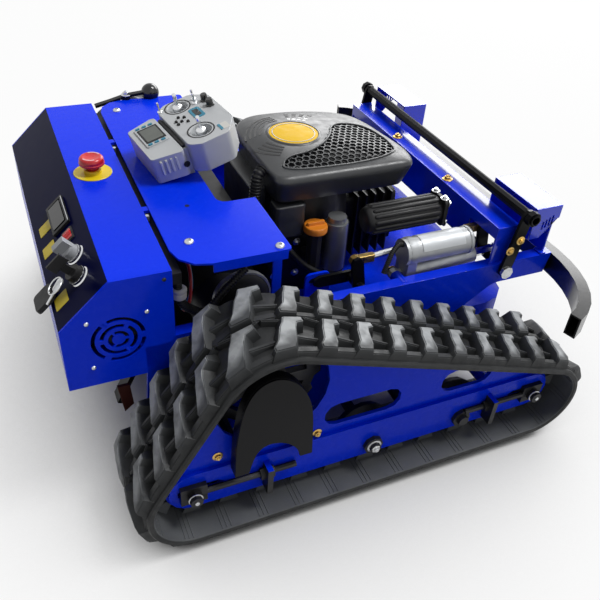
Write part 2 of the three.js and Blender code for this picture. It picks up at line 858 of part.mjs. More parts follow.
function frontHood() {
  const profile = [
    [hoodRear, chassisTop + seat], [hoodFront, chassisTop + seat], [hoodFront, hoodTop], [hoodRear, hoodTop],
  ].map(([x, z]) => new THREE.Vector2(x, z))
  const shell = alongY(profile, hoodInside, hoodOutside)
  const hollow = block(
    hoodRear - overrun, hoodFront - sheet, hoodInside + sheet, hoodOutside - sheet, chassisTop - overrun,
    hoodTop - sheet,
  )
  const cheek = filleted([
    [hoodRearFoot, hoodLowRear], [hoodFront - sheet, hoodLowFront], [hoodFront + overrun, hoodLowFront],
    [hoodFront + overrun, chassisTop - overrun], [hoodRear - overrun, chassisTop - overrun],
    [hoodRear - overrun, hoodLowRear],
  ])
  const slots = []
  for (let k = 0; k < hoodSlots; k += 1) {
    const x = hoodRearFoot + k * hoodSlotWidth * 2
    const z = hoodLowRear + hoodSlotHeight + k * hoodSlotWidth
    slots.push(
      block(
        x, x + hoodSlotWidth, hoodOutside - sheet - overrun, hoodOutside + overrun, z, z + hoodSlotHeight,
      ),
    )
  }
  const under = alongY(cheek, hoodInside + sheet, hoodOutside + overrun)
  const foot = block(
    hoodFront - sheet, hoodFront, hoodInside, sideFace - heavySheet, chassisTop + seat, hoodTop - sheet,
  )
  const strap = block(
    hoodFront - sheet - hoodFlange, hoodFront, sideFace - chassisFlange, sideFace, chassisTop + seat,
    chassisTop + seat + sheet,
  )
  return join(cut(shell, hollow, under, slots), foot, strap)
}

pair('front_hood', frontHood(), 'bluePaint')

// Front bumper: rectangular tube across the nose, curving back round both tracks, on two arms

const bumperTop = 284
const bumperHeight = 40
const bumperDepth = 20
const bumperWall = 3
const bumperFront = 790
const bumperHalfSpan = 438
const bumperEndX = 690
const bumperBendY = 262
const bumperSteps = 7
const bumperTurn = Math.PI * 0.43

// Centre line of the bumper at a share of the way round its bend, from straight nose to end.
function bumperCurve(share) {
  const turn = share * bumperTurn
  const x = (bumperFront - bumperEndX) * (1 - Math.cos(turn)) / (1 - Math.cos(bumperTurn))
  const y = (bumperHalfSpan - bumperBendY) * Math.sin(turn) / Math.sin(bumperTurn)
  return new THREE.Vector2(bumperFront - x, bumperBendY + y)
}

function bumperBand(inset, reach) {
  const outer = []
  const inner = []
  for (let k = 0; k <= bumperSteps; k += 1) {
    const place = bumperCurve(k / bumperSteps)
    const ahead = bumperCurve((k + 1 / bumperSteps) / bumperSteps).sub(
      bumperCurve((k - 1 / bumperSteps) / bumperSteps),
    )
    const inward = new THREE.Vector2(-ahead.y, ahead.x).normalize()
    if (k === 0) inward.set(-1, 0)
    const extra = k === bumperSteps ? reach : 0
    const tail = ahead.normalize().multiplyScalar(extra)
    outer.push(place.clone().addScaledVector(inward, inset).add(tail))
    inner.push(place.clone().addScaledVector(inward, bumperDepth - inset).add(tail))
  }
  const left = inner.slice().reverse()
  const flip = (points) => points.map((p) => new THREE.Vector2(p.x, -p.y))
  return outer.concat(left, flip(inner), flip(outer).reverse())
}

const bumperArmHalf = 5

function frontBumper() {
  const low = bumperTop - bumperHeight
  const tube = alongZ(bumperBand(0, 0), low, bumperTop)
  const bore = alongZ(bumperBand(bumperWall, overrun), low + bumperWall, bumperTop - bumperWall)
  const back = bumperFront - bumperDepth
  const arms = [-1, 1].map((side) => {
    const y = side * (sideInner - seat - bumperArmHalf)
    const top = chassisTop - flangeSheet - seat
    return block(
      sideNoseX - bumperHeight, back + bumperWall / 2, y - bumperArmHalf, y + bumperArmHalf, low + bumperWall,
      top,
    )
  })
  return join(cut(tube, bore), arms)
}

piece('front_bumper', frontBumper(), 'blackPaint')

// Chassis tray between the side plates, which carries the battery

const trayLow = deckTop + 4
const traySheet = 4
const trayRear = 60
const trayFront = 262
const trayLip = 22
const strutLength = 132
const strutWidth = 28
const strutDepth = 8
const strutLean = 1.12
const strutX = 38
const strutY = 150
const strutZ = 128

function chassisTray() {
  const half = sideInner - seat
  const floor = block(trayRear, trayFront, -half, half, trayLow, trayLow + traySheet)
  const lips = [-1, 1].map((side) => {
    const outer = side * half
    const inner = side * (half - traySheet)
    return block(
      trayRear, trayFront, Math.min(outer, inner), Math.max(outer, inner), trayLow, trayLow + trayLip,
    )
  })
  const motorRoom = [-1, 1].map((side) => {
    return rod(
      [sprocketX, side * half, sprocketZ], [sprocketX, side * (half - motorLength - motorDome), sprocketZ],
      motorRadius + pinGap, largeRound,
    )
  })
  const struts = [-1, 1].map((side) => {
    const strut = new THREE.BoxGeometry(strutLength, strutWidth, strutDepth)
    strut.rotateY(-strutLean)
    return strut.translate(strutX, side * strutY, strutZ)
  })
  return join(cut(join(floor, lips), motorRoom), struts)
}

piece('chassis_tray', chassisTray(), 'blackPaint')

// Battery: block with a stepped lid, terminals and carrying recesses

const batteryRear = 104
const batteryFront = 248
const batteryHalfWidth = 132
const batteryTop = 352
const batteryLid = 24
const terminalRadius = 9
const terminalHeight = 12
const terminalTaperShare = 0.85

function battery() {
  const low = trayLow + traySheet + seat
  const lidLow = batteryTop - batteryLid
  const body = alongZ(
    rectangle(batteryRear, batteryFront, -batteryHalfWidth, batteryHalfWidth, sheet * 2), low, lidLow + seat,
  )
  const inset = sheet
  const lid = alongZ(
    rectangle(
      batteryRear - inset, batteryFront + inset, -batteryHalfWidth - inset, batteryHalfWidth + inset,
      sheet * 3,
    ),
    lidLow, batteryTop,
  )
  const posts = [-1, 1].map((side) => {
    const y = side * (batteryHalfWidth - terminalRadius * 2)
    const x = batteryFront - terminalRadius * 2
    return rod(
      [x, y, batteryTop - seat], [x, y, batteryTop + terminalHeight], terminalRadius, smallRound,
      terminalRadius * terminalTaperShare,
    )
  })
  return join(body, lid, posts)
}

piece('battery', battery(), 'blackPlastic')

// Control box: folded sheet shell across the rear, with an inclined panel and a step over the side plates

const panelRun = Math.hypot(boxTopRear - boxRear, boxTop - boxShoulder)
const panelUp = { x: (boxTopRear - boxRear) / panelRun, z: (boxTop - boxShoulder) / panelRun }
const panelOut = { x: -panelUp.z, z: panelUp.x }
const coverSheet = 3
const estopX = 36
const estopY = 12
const estopHole = 12
const displayUp = 55
const displayInset = 226
const displayY = displayInset - boxHalfWidth
const displayLength = 78
const displayHeight = 34
const rockerUp = 60
const rockerInset = 162
const rockerY = rockerInset - boxHalfWidth
const rockerLength = 24
const rockerHeight = 15
const selectorUp = 64
const selectorInset = 104
const selectorY = selectorInset - boxHalfWidth
const keyUp = 60
const keyInset = 56
const keyY = keyInset - boxHalfWidth
const switchHole = 11

// Point on the inclined panel: a distance up its slope and a distance out of it.
function onPanel(up, y, out) {
  const x = boxRear + panelUp.x * up + panelOut.x * out
  const z = boxShoulder + panelUp.z * up + panelOut.z * out
  return [x, y, z]
}

// Box lying on the panel, given its centre, length across, height up the slope and depth range.
function panelBlock(up, y, length, height, low, high) {
  const form = new THREE.BoxGeometry(height, length, high - low)
  const turn = new THREE.Matrix4()
  const along = new THREE.Vector3(panelUp.x, 0, panelUp.z)
  const out = new THREE.Vector3(panelOut.x, 0, panelOut.z)
  turn.makeBasis(along, new THREE.Vector3(0, 1, 0), out)
  return form.applyMatrix4(turn).translate(...onPanel(up, y, (low + high) / 2))
}

function boxProfile(inset) {
  const slope = inset * Math.tan(Math.atan2(panelUp.z, panelUp.x) / 2)
  return [
    [boxRear + inset, boxBottom + inset], [boxStepX - inset, boxBottom + inset],
    [boxStepX - inset, chassisTop + seat + inset],
    [boxFront - inset, chassisTop + seat + inset], [boxFront - inset, boxTop - inset],
    [boxTopRear + slope, boxTop - inset],
    [boxRear + inset, boxShoulder - slope],
  ].map(([x, z]) => new THREE.Vector2(x, z))
}

function controlBoxShell() {
  const half = boxHalfWidth - coverSheet - seat
  const shell = alongY(boxProfile(0), -half, half)
  const hollow = alongY(boxProfile(sheet), -half - overrun, half + overrun)
  const cuts = [
    rod(
      [estopX, estopY, boxTop - sheet - overrun], [estopX, estopY, boxTop + overrun], estopHole, mediumRound,
    ),
    panelBlock(
      rockerUp, rockerY, rockerLength + seat * 2, rockerHeight + seat * 2, -sheet - overrun, overrun,
    ),
    rod(
      onPanel(selectorUp, selectorY, -sheet - overrun), onPanel(selectorUp, selectorY, overrun), switchHole,
      mediumRound,
    ),
    rod(onPanel(keyUp, keyY, -sheet - overrun), onPanel(keyUp, keyY, overrun), switchHole, mediumRound),
  ]
  return cut(shell, hollow, cuts)
}

piece('control_box_shell', controlBoxShell(), 'bluePaint')

// Side covers of the control box, with an arc-slotted vent for the fan

const ventX = 5
const ventZ = 314
const ventRings = 3
const ventFirst = 10
const ventStep = 12
const ventSlot = 5
const ventSpokes = 3
const ventSlotShare = 0.8
const coverLip = 10

function ventSlots() {
  const slots = []
  for (let ring = 0; ring < ventRings; ring += 1) {
    const inner = ventFirst + ring * ventStep
    for (let k = 0; k < ventSpokes; k += 1) {
      const from = fullTurn * (k + (ring % 2) / 2) / ventSpokes
      const to = from + fullTurn * ventSlotShare / ventSpokes
      const outerArc = arc(ventX, ventZ, inner + ventSlot, from, to, 3)
      slots.push(outerArc.concat(arc(ventX, ventZ, inner, to, from, 3)))
    }
  }
  return slots
}

function controlBoxCover() {
  const low = boxHalfWidth - coverSheet
  const plate = alongY(boxProfile(0), low, boxHalfWidth, ventSlots())
  const lipOut = alongY(boxProfile(sheet + seat), low - coverLip, low + seat)
  const lipIn = alongY(boxProfile(sheet * 2), low - coverLip - overrun, low + seat * 2)
  return join(plate, cut(lipOut, lipIn))
}

pair('control_box_cover', controlBoxCover(), 'bluePaint')

// Cooling fan behind the right-hand vent: a motor on three posts and a rotor of pitched blades

const fanRadius = 33
const fanHub = 14
const fanDepth = 14
const fanBlades = 7
const fanBladeThickness = 2
const fanPitch = 0.7
const fanFrameWall = 3

function fanRotor() {
  const face = -(boxHalfWidth - coverSheet - fanFrameWall - seat)
  const hub = rod([ventX, face, ventZ], [ventX, face + fanDepth, ventZ], fanHub, mediumRound)
  const blades = []
  for (let k = 0; k < fanBlades; k += 1) {
    const blade = new THREE.BoxGeometry(fanRadius - fanHub + seat, fanDepth, fanBladeThickness)
    blade.rotateX(fanPitch)
    blade.translate((fanRadius + fanHub) / 2 - seat, 0, 0)
    blade.rotateY(fullTurn * k / fanBlades)
    blades.push(blade.translate(ventX, face + fanDepth / 2, ventZ))
  }
  return join(hub, blades)
}

piece('fan_rotor', fanRotor(), 'blackPlastic')

// Fan motor with its arms, screwed behind the right-hand cover

const fanMotorDepth = 16
const fanArmWidth = 6
const fanScrewSpacing = 80
const fanPostRadius = 4

function fanMotor() {
  const cover = -(boxHalfWidth - coverSheet - seat)
  const front = cover + fanFrameWall + fanDepth + seat
  const back = front + fanMotorDepth
  const can = rod([ventX, front, ventZ], [ventX, back, ventZ], fanHub, mediumRound)
  const reach = fanScrewSpacing / 2
  const forms = [can]
  for (const [sx, sz] of [[-1, -1], [-1, 1], [1, 1]]) {
    const x = ventX + sx * reach
    const z = ventZ + sz * reach
    forms.push(rod([x, cover, z], [x, back, z], fanPostRadius, smallRound))
    forms.push(
      rod([ventX, back - fanArmWidth / 2, ventZ], [x, back - fanArmWidth / 2, z], fanArmWidth / 2, 4),
    )
  }
  return join(forms)
}

piece('fan_motor', fanMotor(), 'blackPlastic')

// Emergency stop: yellow collar plate and a red mushroom head that presses down

const estopRing = 30
const estopRingDepth = 4
const estopHead = 20
const estopNeck = 9
const estopHeadLow = 12
const estopHeadHigh = 28
const collarTopShare = 0.8
const headFootShare = 0.9
const headShoulderShare = 0.85
const headCrownShare = 0.6

function emergencyCollar() {
  const low = boxTop + seat
  const bore = estopNeck + runningGap
  const tail = estopHole - runningGap
  const profile = [
    [bore, -sheet * 3], [tail, -sheet * 3], [tail, seat], [estopRing, seat], [estopRing, estopRingDepth],
    [estopHead * collarTopShare, estopRingDepth * 1.5], [bore, estopRingDepth * 1.5], [bore, -sheet * 3],
  ]
  return turned(profile, [estopX, estopY, low - seat], [0, 0, 1], mediumRound)
}

function emergencyButton() {
  const profile = [
    [0, -sheet], [estopNeck, -sheet], [estopNeck, estopHeadLow], [estopHead * headFootShare, estopHeadLow],
    [estopHead, estopHeadLow + sheet], [estopHead, estopHeadHigh - sheet * 2],
    [estopHead * headShoulderShare, estopHeadHigh - sheet / 2],
    [estopHead * headCrownShare, estopHeadHigh], [0, estopHeadHigh + sheet / 3],
  ]
  return turned(profile, [estopX, estopY, boxTop], [0, 0, 1], mediumRound)
}

piece('emergency_stop_collar', emergencyCollar(), 'yellowPlastic')
piece('emergency_stop_button', emergencyButton(), 'redPlastic')

// Panel controls: voltage display, rocker switch, selector and key switch

const displayDepth = 5
const rockerFrame = 2.5

function voltageDisplay() {
  const bezel = panelBlock(displayUp, displayY, displayLength, displayHeight, seat, displayDepth)
  const window = panelBlock(
    displayUp, displayY, displayLength - sheet * 4, displayHeight - sheet * 3, displayDepth - sheet / 2,
    displayDepth + overrun,
  )
  return cut(bezel, window)
}

piece('voltage_display', voltageDisplay(), 'blackPlastic')

function rockerSwitch() {
  const body = panelBlock(rockerUp, rockerY, rockerLength - rockerFrame, rockerHeight, -sheet, sheet)
  const crest = rod(
    onPanel(rockerUp - rockerHeight / 2, rockerY, 0), onPanel(rockerUp + rockerHeight / 2, rockerY, 0),
    sheet * 2, smallRound,
  )
  const hollowHalf = rockerLength / 4
  const dips = [-1, 1].map((side) => {
    const y = rockerY + side * hollowHalf
    return rod(
      onPanel(rockerUp - rockerHeight, y, rockerLength / 2 + sheet / 3),
      onPanel(rockerUp + rockerHeight, y, rockerLength / 2 + sheet / 3), rockerLength / 2 - sheet,
      mediumRound,
    )
  })
  return cut(join(body, crest), dips)
}

piece('rocker_switch', rockerSwitch(), 'redPlastic')

const knobCollarDepth = 9
const knobSkirt = 14
const knobHead = 12
const knobDepth = 34
const knobGrip = 6
const knobBarrel = 9.5
const knobFaceShare = 0.6
const knobEdgeShare = 0.55
const gripFootShare = 0.5

function selectorKnob() {
  const profile = [
    [0, -sheet * 2], [knobBarrel, -sheet * 2], [knobBarrel, seat],
    [knobSkirt, seat], [knobSkirt, knobCollarDepth], [knobHead, knobCollarDepth],
    [knobHead, knobDepth * knobEdgeShare],
    [knobHead - sheet / 2, knobDepth * knobFaceShare], [0, knobDepth * knobFaceShare],
  ]
  const base = turned(profile, onPanel(selectorUp, selectorY, 0), [panelOut.x, 0, panelOut.z], mediumRound)
  const grip = panelBlock(
    selectorUp, selectorY, knobGrip * 2, knobHead * 2 - sheet, knobDepth * gripFootShare, knobDepth,
  )
  return join(base, grip)
}

const keyBladeThickness = 2
const keyBow = 13
const keyFaceShare = 0.5
const keyRootShare = 0.45

function ignitionKey() {
  const profile = [
    [0, -sheet * 2], [knobBarrel, -sheet * 2], [knobBarrel, seat],
    [knobSkirt, seat], [knobSkirt, knobCollarDepth], [knobHead, knobCollarDepth],
    [knobHead, knobDepth * keyFaceShare], [0, knobDepth * keyFaceShare],
  ]
  const barrel = turned(profile, onPanel(keyUp, keyY, 0), [panelOut.x, 0, panelOut.z], mediumRound)
  const blade = panelBlock(keyUp, keyY, keyBladeThickness, knobHead, knobDepth * keyRootShare, knobDepth)
  const bow = panelBlock(
    keyUp, keyY, keyBladeThickness * 2, keyBow * 2, knobDepth - sheet, knobDepth + keyBow,
  )
  return join(barrel, blade, bow)
}

piece('selector_knob', selectorKnob(), 'palePlastic')
piece('ignition_key', ignitionKey(), 'blackPlastic')

// Top cover plate: one sheet with rounded rear corners, folded side flanges and feet on the side plates

const coverCornerRadius = 47
const coverFlangeRear = 140
const coverFlangeDrop = 16
const uprightWidth = 14
const coverBridge = 24
const bridgeY = 118

// Sizes of the ball lever, whose pivot tab is welded to the cover's left flange
const leverY = 290
const leverPivotX = 150
const leverZ = 404
const leverBar = 10
const leverThickness = 5
const leverRearX = 92
const leverDrop = 18
const leverFrontX = 178
const knobX = 197
const knobZ = 419
const ballRadius = 17

function topCover() {
  const plan = filleted([
    [coverRear, -coverHalfWidth, coverCornerRadius], [coverFront, -coverHalfWidth, sheet * 2],
    [coverFront, -coverCutHalfWidth],
    [coverCutX, -coverCutHalfWidth, sheet * 5], [coverCutX, coverCutHalfWidth, sheet * 5],
    [coverFront, coverCutHalfWidth],
    [coverFront, coverHalfWidth, sheet * 2], [coverRear, coverHalfWidth, coverCornerRadius],
  ])
  const low = boxTop - sheet
  const forms = [alongZ(plan, low, boxTop)]
  for (const side of [-1, 1]) {
    const outer = side * coverHalfWidth
    const inner = side * (coverHalfWidth - sheet)
    const y0 = Math.min(outer, inner)
    const y1 = Math.max(outer, inner)
    forms.push(
      block(coverFlangeRear, coverFront - sheet * 2, y0, y1, boxTop - coverFlangeDrop, boxTop - sheet / 2),
    )
    const legIn = side * (sideFace - chassisFlange / 2)
    const legOut = side * (sideFace - chassisFlange / 2 + sheet)
    const legY0 = Math.min(legIn, legOut)
    const legY1 = Math.max(legIn, legOut)
    const legRear = coverFront - sheet * 2 - uprightWidth
    forms.push(block(legRear, coverFront - sheet * 2, legY0, legY1, chassisTop + seat, boxTop - sheet / 2))
    const footY = side * (sideFace - chassisFlange)
    const footY0 = Math.min(footY, legOut)
    const footY1 = Math.max(footY, legOut)
    forms.push(
      block(legRear, coverFront - sheet * 2, footY0, footY1, chassisTop + seat, chassisTop + seat + sheet),
    )
    const bridge = side * bridgeY
    forms.push(
      block(
        boxFront + seat, coverRear + sheet, bridge - coverBridge / 4, bridge + coverBridge / 4, low - sheet,
        boxTop - sheet / 2,
      ),
    )
  }
  const tabLow = coverHalfWidth - seat
  forms.push(
    block(leverPivotX, leverPivotX + leverBar * 2, tabLow, leverY, leverZ - leverDrop, boxTop - sheet / 2),
  )
  return join(forms)
}

piece('top_cover', topCover(), 'bluePaint')

// Ball lever on the left side of the cover: a bent flat bar on a pivot, with a round knob

function ballLever() {
  const low = leverY + seat
  const half = leverBar / 2
  const bar = filleted([
    [leverRearX, leverZ - leverDrop - half], [leverPivotX, leverZ - half, half],
    [leverFrontX + half, leverZ - half],
    [leverFrontX + half, leverZ + half], [leverPivotX, leverZ + half, half],
    [leverRearX, leverZ - leverDrop + half],
  ])
  const plate = alongY(bar, low, low + leverThickness)
  const boss = rod(
    [leverPivotX, low, leverZ], [leverPivotX, low + leverThickness * 2, leverZ], leverBar, smallRound,
  )
  const knobY = coverHalfWidth + ballRadius + pinGap
  const stem = rod(
    [leverFrontX, low + leverThickness / 2, leverZ], [knobX, knobY, knobZ], leverThickness / 2, smallRound,
  )
  const ball = new THREE.SphereGeometry(ballRadius, 12, 8).rotateX(Math.PI / 2).translate(knobX, knobY, knobZ)
  return join(plate, boss, stem, ball)
}

piece('ball_lever', ballLever(), 'blackPlastic')

// Mower deck: drawn shell with rounded corners, open below, with four slotted hangers

const deckCorner = 60
const hangerThickness = 5
const hangerLength = 46
const hangerSlotHalf = 10
const spindleHole = 30
const frontHangerX = liftX - liftLever
const rearHangerX = liftRearX - liftLever
const frontPinZ = liftZ
const rearPinZ = liftZ - liftRearDrop

function hangerPlate(x, z, side) {
  const half = hangerLength / 2
  const top = z + hangerSlotHalf + hangerPinRadius
  const plan = filleted([
    [x - half, deckTop - seat], [x + half, deckTop - seat], [x + half, top, hangerPinRadius * 2],
    [x - half, top, hangerPinRadius * 2],
  ])
  const slot = slotOutline(x - hangerSlotHalf, z, x + hangerSlotHalf, z, hangerPinRadius + pinGap, 4)
  const y = side * hangerY
  return alongY(plan, y - hangerThickness / 2, y + hangerThickness / 2, [slot])
}

function mowerDeck() {
  const outer = alongZ(
    rectangle(deckRear, deckFront, -deckHalfWidth, deckHalfWidth, deckCorner), deckBottom, deckTop,
  )
  const inset = deckWall
  const inner = rectangle(
    deckRear + inset, deckFront - inset, -deckHalfWidth + inset, deckHalfWidth - inset, deckCorner - inset,
  )
  const hollow = alongZ(inner, deckBottom - overrun, deckTop - deckWall)
  const spindle = rod(
    [engineX, 0, deckTop - deckWall - overrun], [engineX, 0, deckTop + overrun], spindleHole, mediumRound,
  )
  const hangers = [-1, 1].flatMap(
    (side) => [hangerPlate(frontHangerX, frontPinZ, side), hangerPlate(rearHangerX, rearPinZ, side)],
  )
  return join(cut(outer, hollow, spindle), hangers)
}

piece('mower_deck', mowerDeck(), 'bluePaint')

// Blade: twisted cutting bar with raised ends, on the engine's shaft below the deck

const bladeWidth = 52
const bladeThickness = 5
const bladeZ = 104
const bladeLift = 12
const wingStartShare = 0.68
const wingEndShare = 0.97

function blade() {
  const half = bladeRadius
  const bar = alongZ(
    rectangle(engineX - bladeWidth / 2, engineX + bladeWidth / 2, -half, half, bladeWidth / 6), bladeZ,
    bladeZ + bladeThickness,
  )
  const wings = [-1, 1].map((side) => {
    const y0 = side * half * wingStartShare
    const y1 = side * half * wingEndShare
    const x0 = engineX + side * (bladeWidth / 2 - bladeThickness)
    const x1 = engineX + side * (bladeWidth / 2)
    const rear = Math.min(x0, x1)
    const front = Math.max(x0, x1)
    const right = Math.min(y0, y1)
    const left = Math.max(y0, y1)
    const base = [[rear, right], [front, right], [front, left], [rear, left]]
    return hull8(
      base, base.map(([x, y]) => [x + side * bladeThickness, y]), bladeZ, bladeZ + bladeThickness + bladeLift,
    )
  })
  const hub = rod(
    [engineX, 0, bladeZ - bladeThickness * 2], [engineX, 0, deckTop - overrun], bladeWidth / 2, mediumRound,
  )
  return join(bar, wings, hub)
}

piece('blade', blade(), 'steel')

// Engine block: crankcase on a round flange, finned cylinder towards the front, fan duct and oil filler neck

const crankcaseRear = 296
const crankcaseFront = 462
const crankcaseHalf = 96
const crankcaseLow = 196
const crankcaseTop = deckTop + engineRise * 0.598
const engineFlange = 100
const flangeDepth = 18
const cylinderFront = 566
const cylinderHalf = 56
const cylinderLow = deckTop + engineRise * 0.2157
const cylinderTop = deckTop + engineRise * 0.7451
const finCount = 5
const finThickness = 3
const finReach = 12
const ductRadius = 108
const ductTop = shroudSkirt - shroudWall * 2
const ductTaperShare = 0.94
const fanColumnRadius = 55

// Sizes of the oil filler, whose neck rises beside the crankcase
const fillerX = 365
const fillerY = -134
const fillerTop = deckTop + engineRise * 0.7892
const fillerNeckRadius = 13
const fillerCapRadius = 18
const fillerCapDepth = 12
const fillerBase = deckTop + engineRise * 0.3922

function oilFillerNeck() {
  const elbow = [fillerX, -crankcaseHalf + overrun, fillerBase]
  const knee = [fillerX, fillerY, fillerBase + fillerNeckRadius]
  const top = [fillerX, fillerY, fillerTop - fillerCapDepth - seat]
  return [
    rod(elbow, knee, fillerNeckRadius, smallRound),
    rod([fillerX, fillerY, fillerBase], top, fillerNeckRadius, smallRound),
  ]
}

function engineBlock() {
  const flange = rod(
    [engineX, 0, deckTop + seat], [engineX, 0, deckTop + flangeDepth], engineFlange, mediumRound,
  )
  const crankcase = alongZ(
    rectangle(crankcaseRear, crankcaseFront, -crankcaseHalf, crankcaseHalf, crankcaseHalf / 4),
    crankcaseLow - seat * 2, crankcaseTop,
  )
  const cylinder = alongX(
    rectangle(-cylinderHalf, cylinderHalf, cylinderLow, cylinderTop, finReach), crankcaseFront - overrun,
    cylinderFront,
  )
  const fins = []
  const finRun = (cylinderFront - crankcaseFront) / (finCount + 1)
  for (let k = 1; k <= finCount; k += 1) {
    const x = crankcaseFront + k * finRun
    const profile = rectangle(
      -cylinderHalf - finReach, cylinderHalf + finReach, cylinderLow - finReach, cylinderTop + finReach / 2,
    )
    fins.push(alongX(profile, x, x + finThickness))
  }
  const duct = rod(
    [engineX, 0, crankcaseTop - overrun], [engineX, 0, ductTop], ductRadius, mediumRound,
    ductRadius * ductTaperShare,
  )
  const roof = shroudRim - shroudWall * 2 - seat
  const column = rod([engineX, 0, ductTop - overrun], [engineX, 0, roof], fanColumnRadius, mediumRound)
  const shaft = rod(
    [engineX, 0, deckTop - overrun + seat * 2], [engineX, 0, crankcaseLow], bladeWidth / 2, mediumRound,
  )
  return join(flange, crankcase, cylinder, fins, duct, column, shaft, oilFillerNeck())
}

piece('engine_block', engineBlock(), 'blackPaint')

// Engine shroud: moulded cowl whose skirt rises to a flat shoulder, with a crown for the round badge

const shroudNearY = -130
const shroudRearX = 292
const shroudBendX = 542
const shroudTipX = 555
const shroudTipY = -77
const shroudFarY = 122
const shroudCornerRadius = 26
const skirtShare = 0.95
const farFrontShare = 0.62
const farBendShare = 0.94
const farBendAdvanceShare = 0.66
const crownRadius = 58
const crownTopRadius = 47
const crownRise = 17
const crownTop = shroudRim + crownRise
const grilleDepth = 3
const grilleLedge = 4

function shroudPlan(share, inset = 0) {
  const half = (shroudFarY - shroudNearY) / 2
  const middleY = (shroudFarY + shroudNearY) / 2
  const corners = [
    [shroudRearX, shroudNearY, shroudCornerRadius], [shroudBendX, shroudNearY, shroudCornerRadius / 2],
    [shroudTipX, shroudTipY, shroudCornerRadius / 2], [shroudTipX - half / 9, half / 6, shroudCornerRadius],
    [shroudBendX - half / 8, half * farFrontShare, shroudCornerRadius],
    [engineX + half * farBendAdvanceShare, half * farBendShare, shroudCornerRadius],
    [engineX + half / 10, shroudFarY, shroudCornerRadius],
    [shroudRearX + half / 4, shroudFarY - half / 40, shroudCornerRadius],
    [shroudRearX, half / 2, shroudCornerRadius],
  ]
  return filleted(corners, 2).map((p) => {
    const away = new THREE.Vector2(p.x - (shroudRearX + shroudTipX) / 2, p.y - middleY)
    const length = away.length()
    return away.multiplyScalar(share - inset / length).add(
      new THREE.Vector2((shroudRearX + shroudTipX) / 2, middleY),
    )
  })
}

// Closed form between two outlines with the same number of points, at two heights.
function loft(lowPoints, highPoints, low, high) {
  const count = lowPoints.length
  const places = lowPoints.map((p) => [p.x, p.y, low]).concat(highPoints.map((p) => [p.x, p.y, high]))
  const faces = []
  for (let k = 0; k < count; k += 1) {
    const n = (k + 1) % count
    faces.push(k, n, n + count, k, n + count, k + count)
  }
  THREE.ShapeUtils.triangulateShape(lowPoints, []).forEach(([a, b, c]) => faces.push(a, c, b))
  THREE.ShapeUtils.triangulateShape(highPoints, []).forEach(
    ([a, b, c]) => faces.push(a + count, b + count, c + count),
  )
  const geometry = new THREE.BufferGeometry()
  geometry.setAttribute('position', new THREE.Float32BufferAttribute(places.flat(), 3))
  geometry.setIndex(faces)
  return geometry
}

// Outline moved inwards by the same distance along every edge.
function insetOutline(points, inset) {
  return points.map((p, i) => {
    const before = p.clone().sub(points.at(i - 1)).normalize()
    const after = points[(i + 1) % points.length].clone().sub(p).normalize()
    const inward = new THREE.Vector2(-before.y - after.y, before.x + after.x).normalize()
    const spread = Math.sqrt((1 + before.dot(after)) / 2)
    return p.clone().addScaledVector(inward, inset / spread)
  })
}

// Crescent of the shoulder that carries the honeycomb, round the front of the crown: corners as shares of its
// length from the rear end and of its reach towards the near side.
const grilleNear = -112
const grilleRear = 320
const grilleFront = 538
const grilleCorner = 12
const grilleCornerShares = [
  [0, 1], [0.96, 1], [1, 0.42], [0.92, -0.18], [0.65, -0.18], [0.54, 0.3], [0.32, 0.61], [0.03, 0.61],
]

function grilleOutline(inset) {
  const run = grilleFront - grilleRear
  const corners = grilleCornerShares.map(
    ([along, near]) => [grilleRear + run * along, grilleNear * near, grilleCorner],
  )
  return insetOutline(filleted(corners, 1), inset)
}

function engineShroud() {
  const low = shroudSkirt
  const bevel = shroudRim - shroudWall * 2
  const outer = join(
    loft(shroudPlan(skirtShare), shroudPlan(1), low, bevel + seat),
    loft(shroudPlan(1), shroudPlan(1, shroudWall), bevel, shroudRim),
  )
  const crown = rod(
    [engineX, 0, shroudRim - seat], [engineX, 0, crownTop], crownRadius, mediumRound, crownTopRadius,
  )
  const hollow = loft(shroudPlan(skirtShare, shroudWall), shroudPlan(1, shroudWall), low - overrun, bevel)
  const pocket = alongZ(grilleOutline(0), shroudRim - grilleDepth - seat, shroudRim + overrun)
  const opening = alongZ(grilleOutline(grilleLedge), bevel - overrun, shroudRim + overrun)
  return cut(join(outer, crown), hollow, pocket, opening)
}

piece('engine_shroud', engineShroud(), 'shroudPlastic')

// Honeycomb grille: hexagonal holes in a plate that drops into the shroud's ledge

const hexPitch = 21
const hexWall = 3
const grilleEdge = 3

function insideOutline(x, y, outline, margin) {
  let inside = false
  let nearest = Infinity
  outline.forEach((p, i) => {
    const q = outline[(i + 1) % outline.length]
    const crosses = (p.y > y) !== (q.y > y) && x < (q.x - p.x) * (y - p.y) / (q.y - p.y) + p.x
    if (crosses) inside = !inside
    const edge = q.clone().sub(p)
    const along = Math.min(1, Math.max(0, new THREE.Vector2(x, y).sub(p).dot(edge) / edge.lengthSq()))
    nearest = Math.min(nearest, p.clone().addScaledVector(edge, along).distanceTo(new THREE.Vector2(x, y)))
  })
  return inside && nearest > margin
}

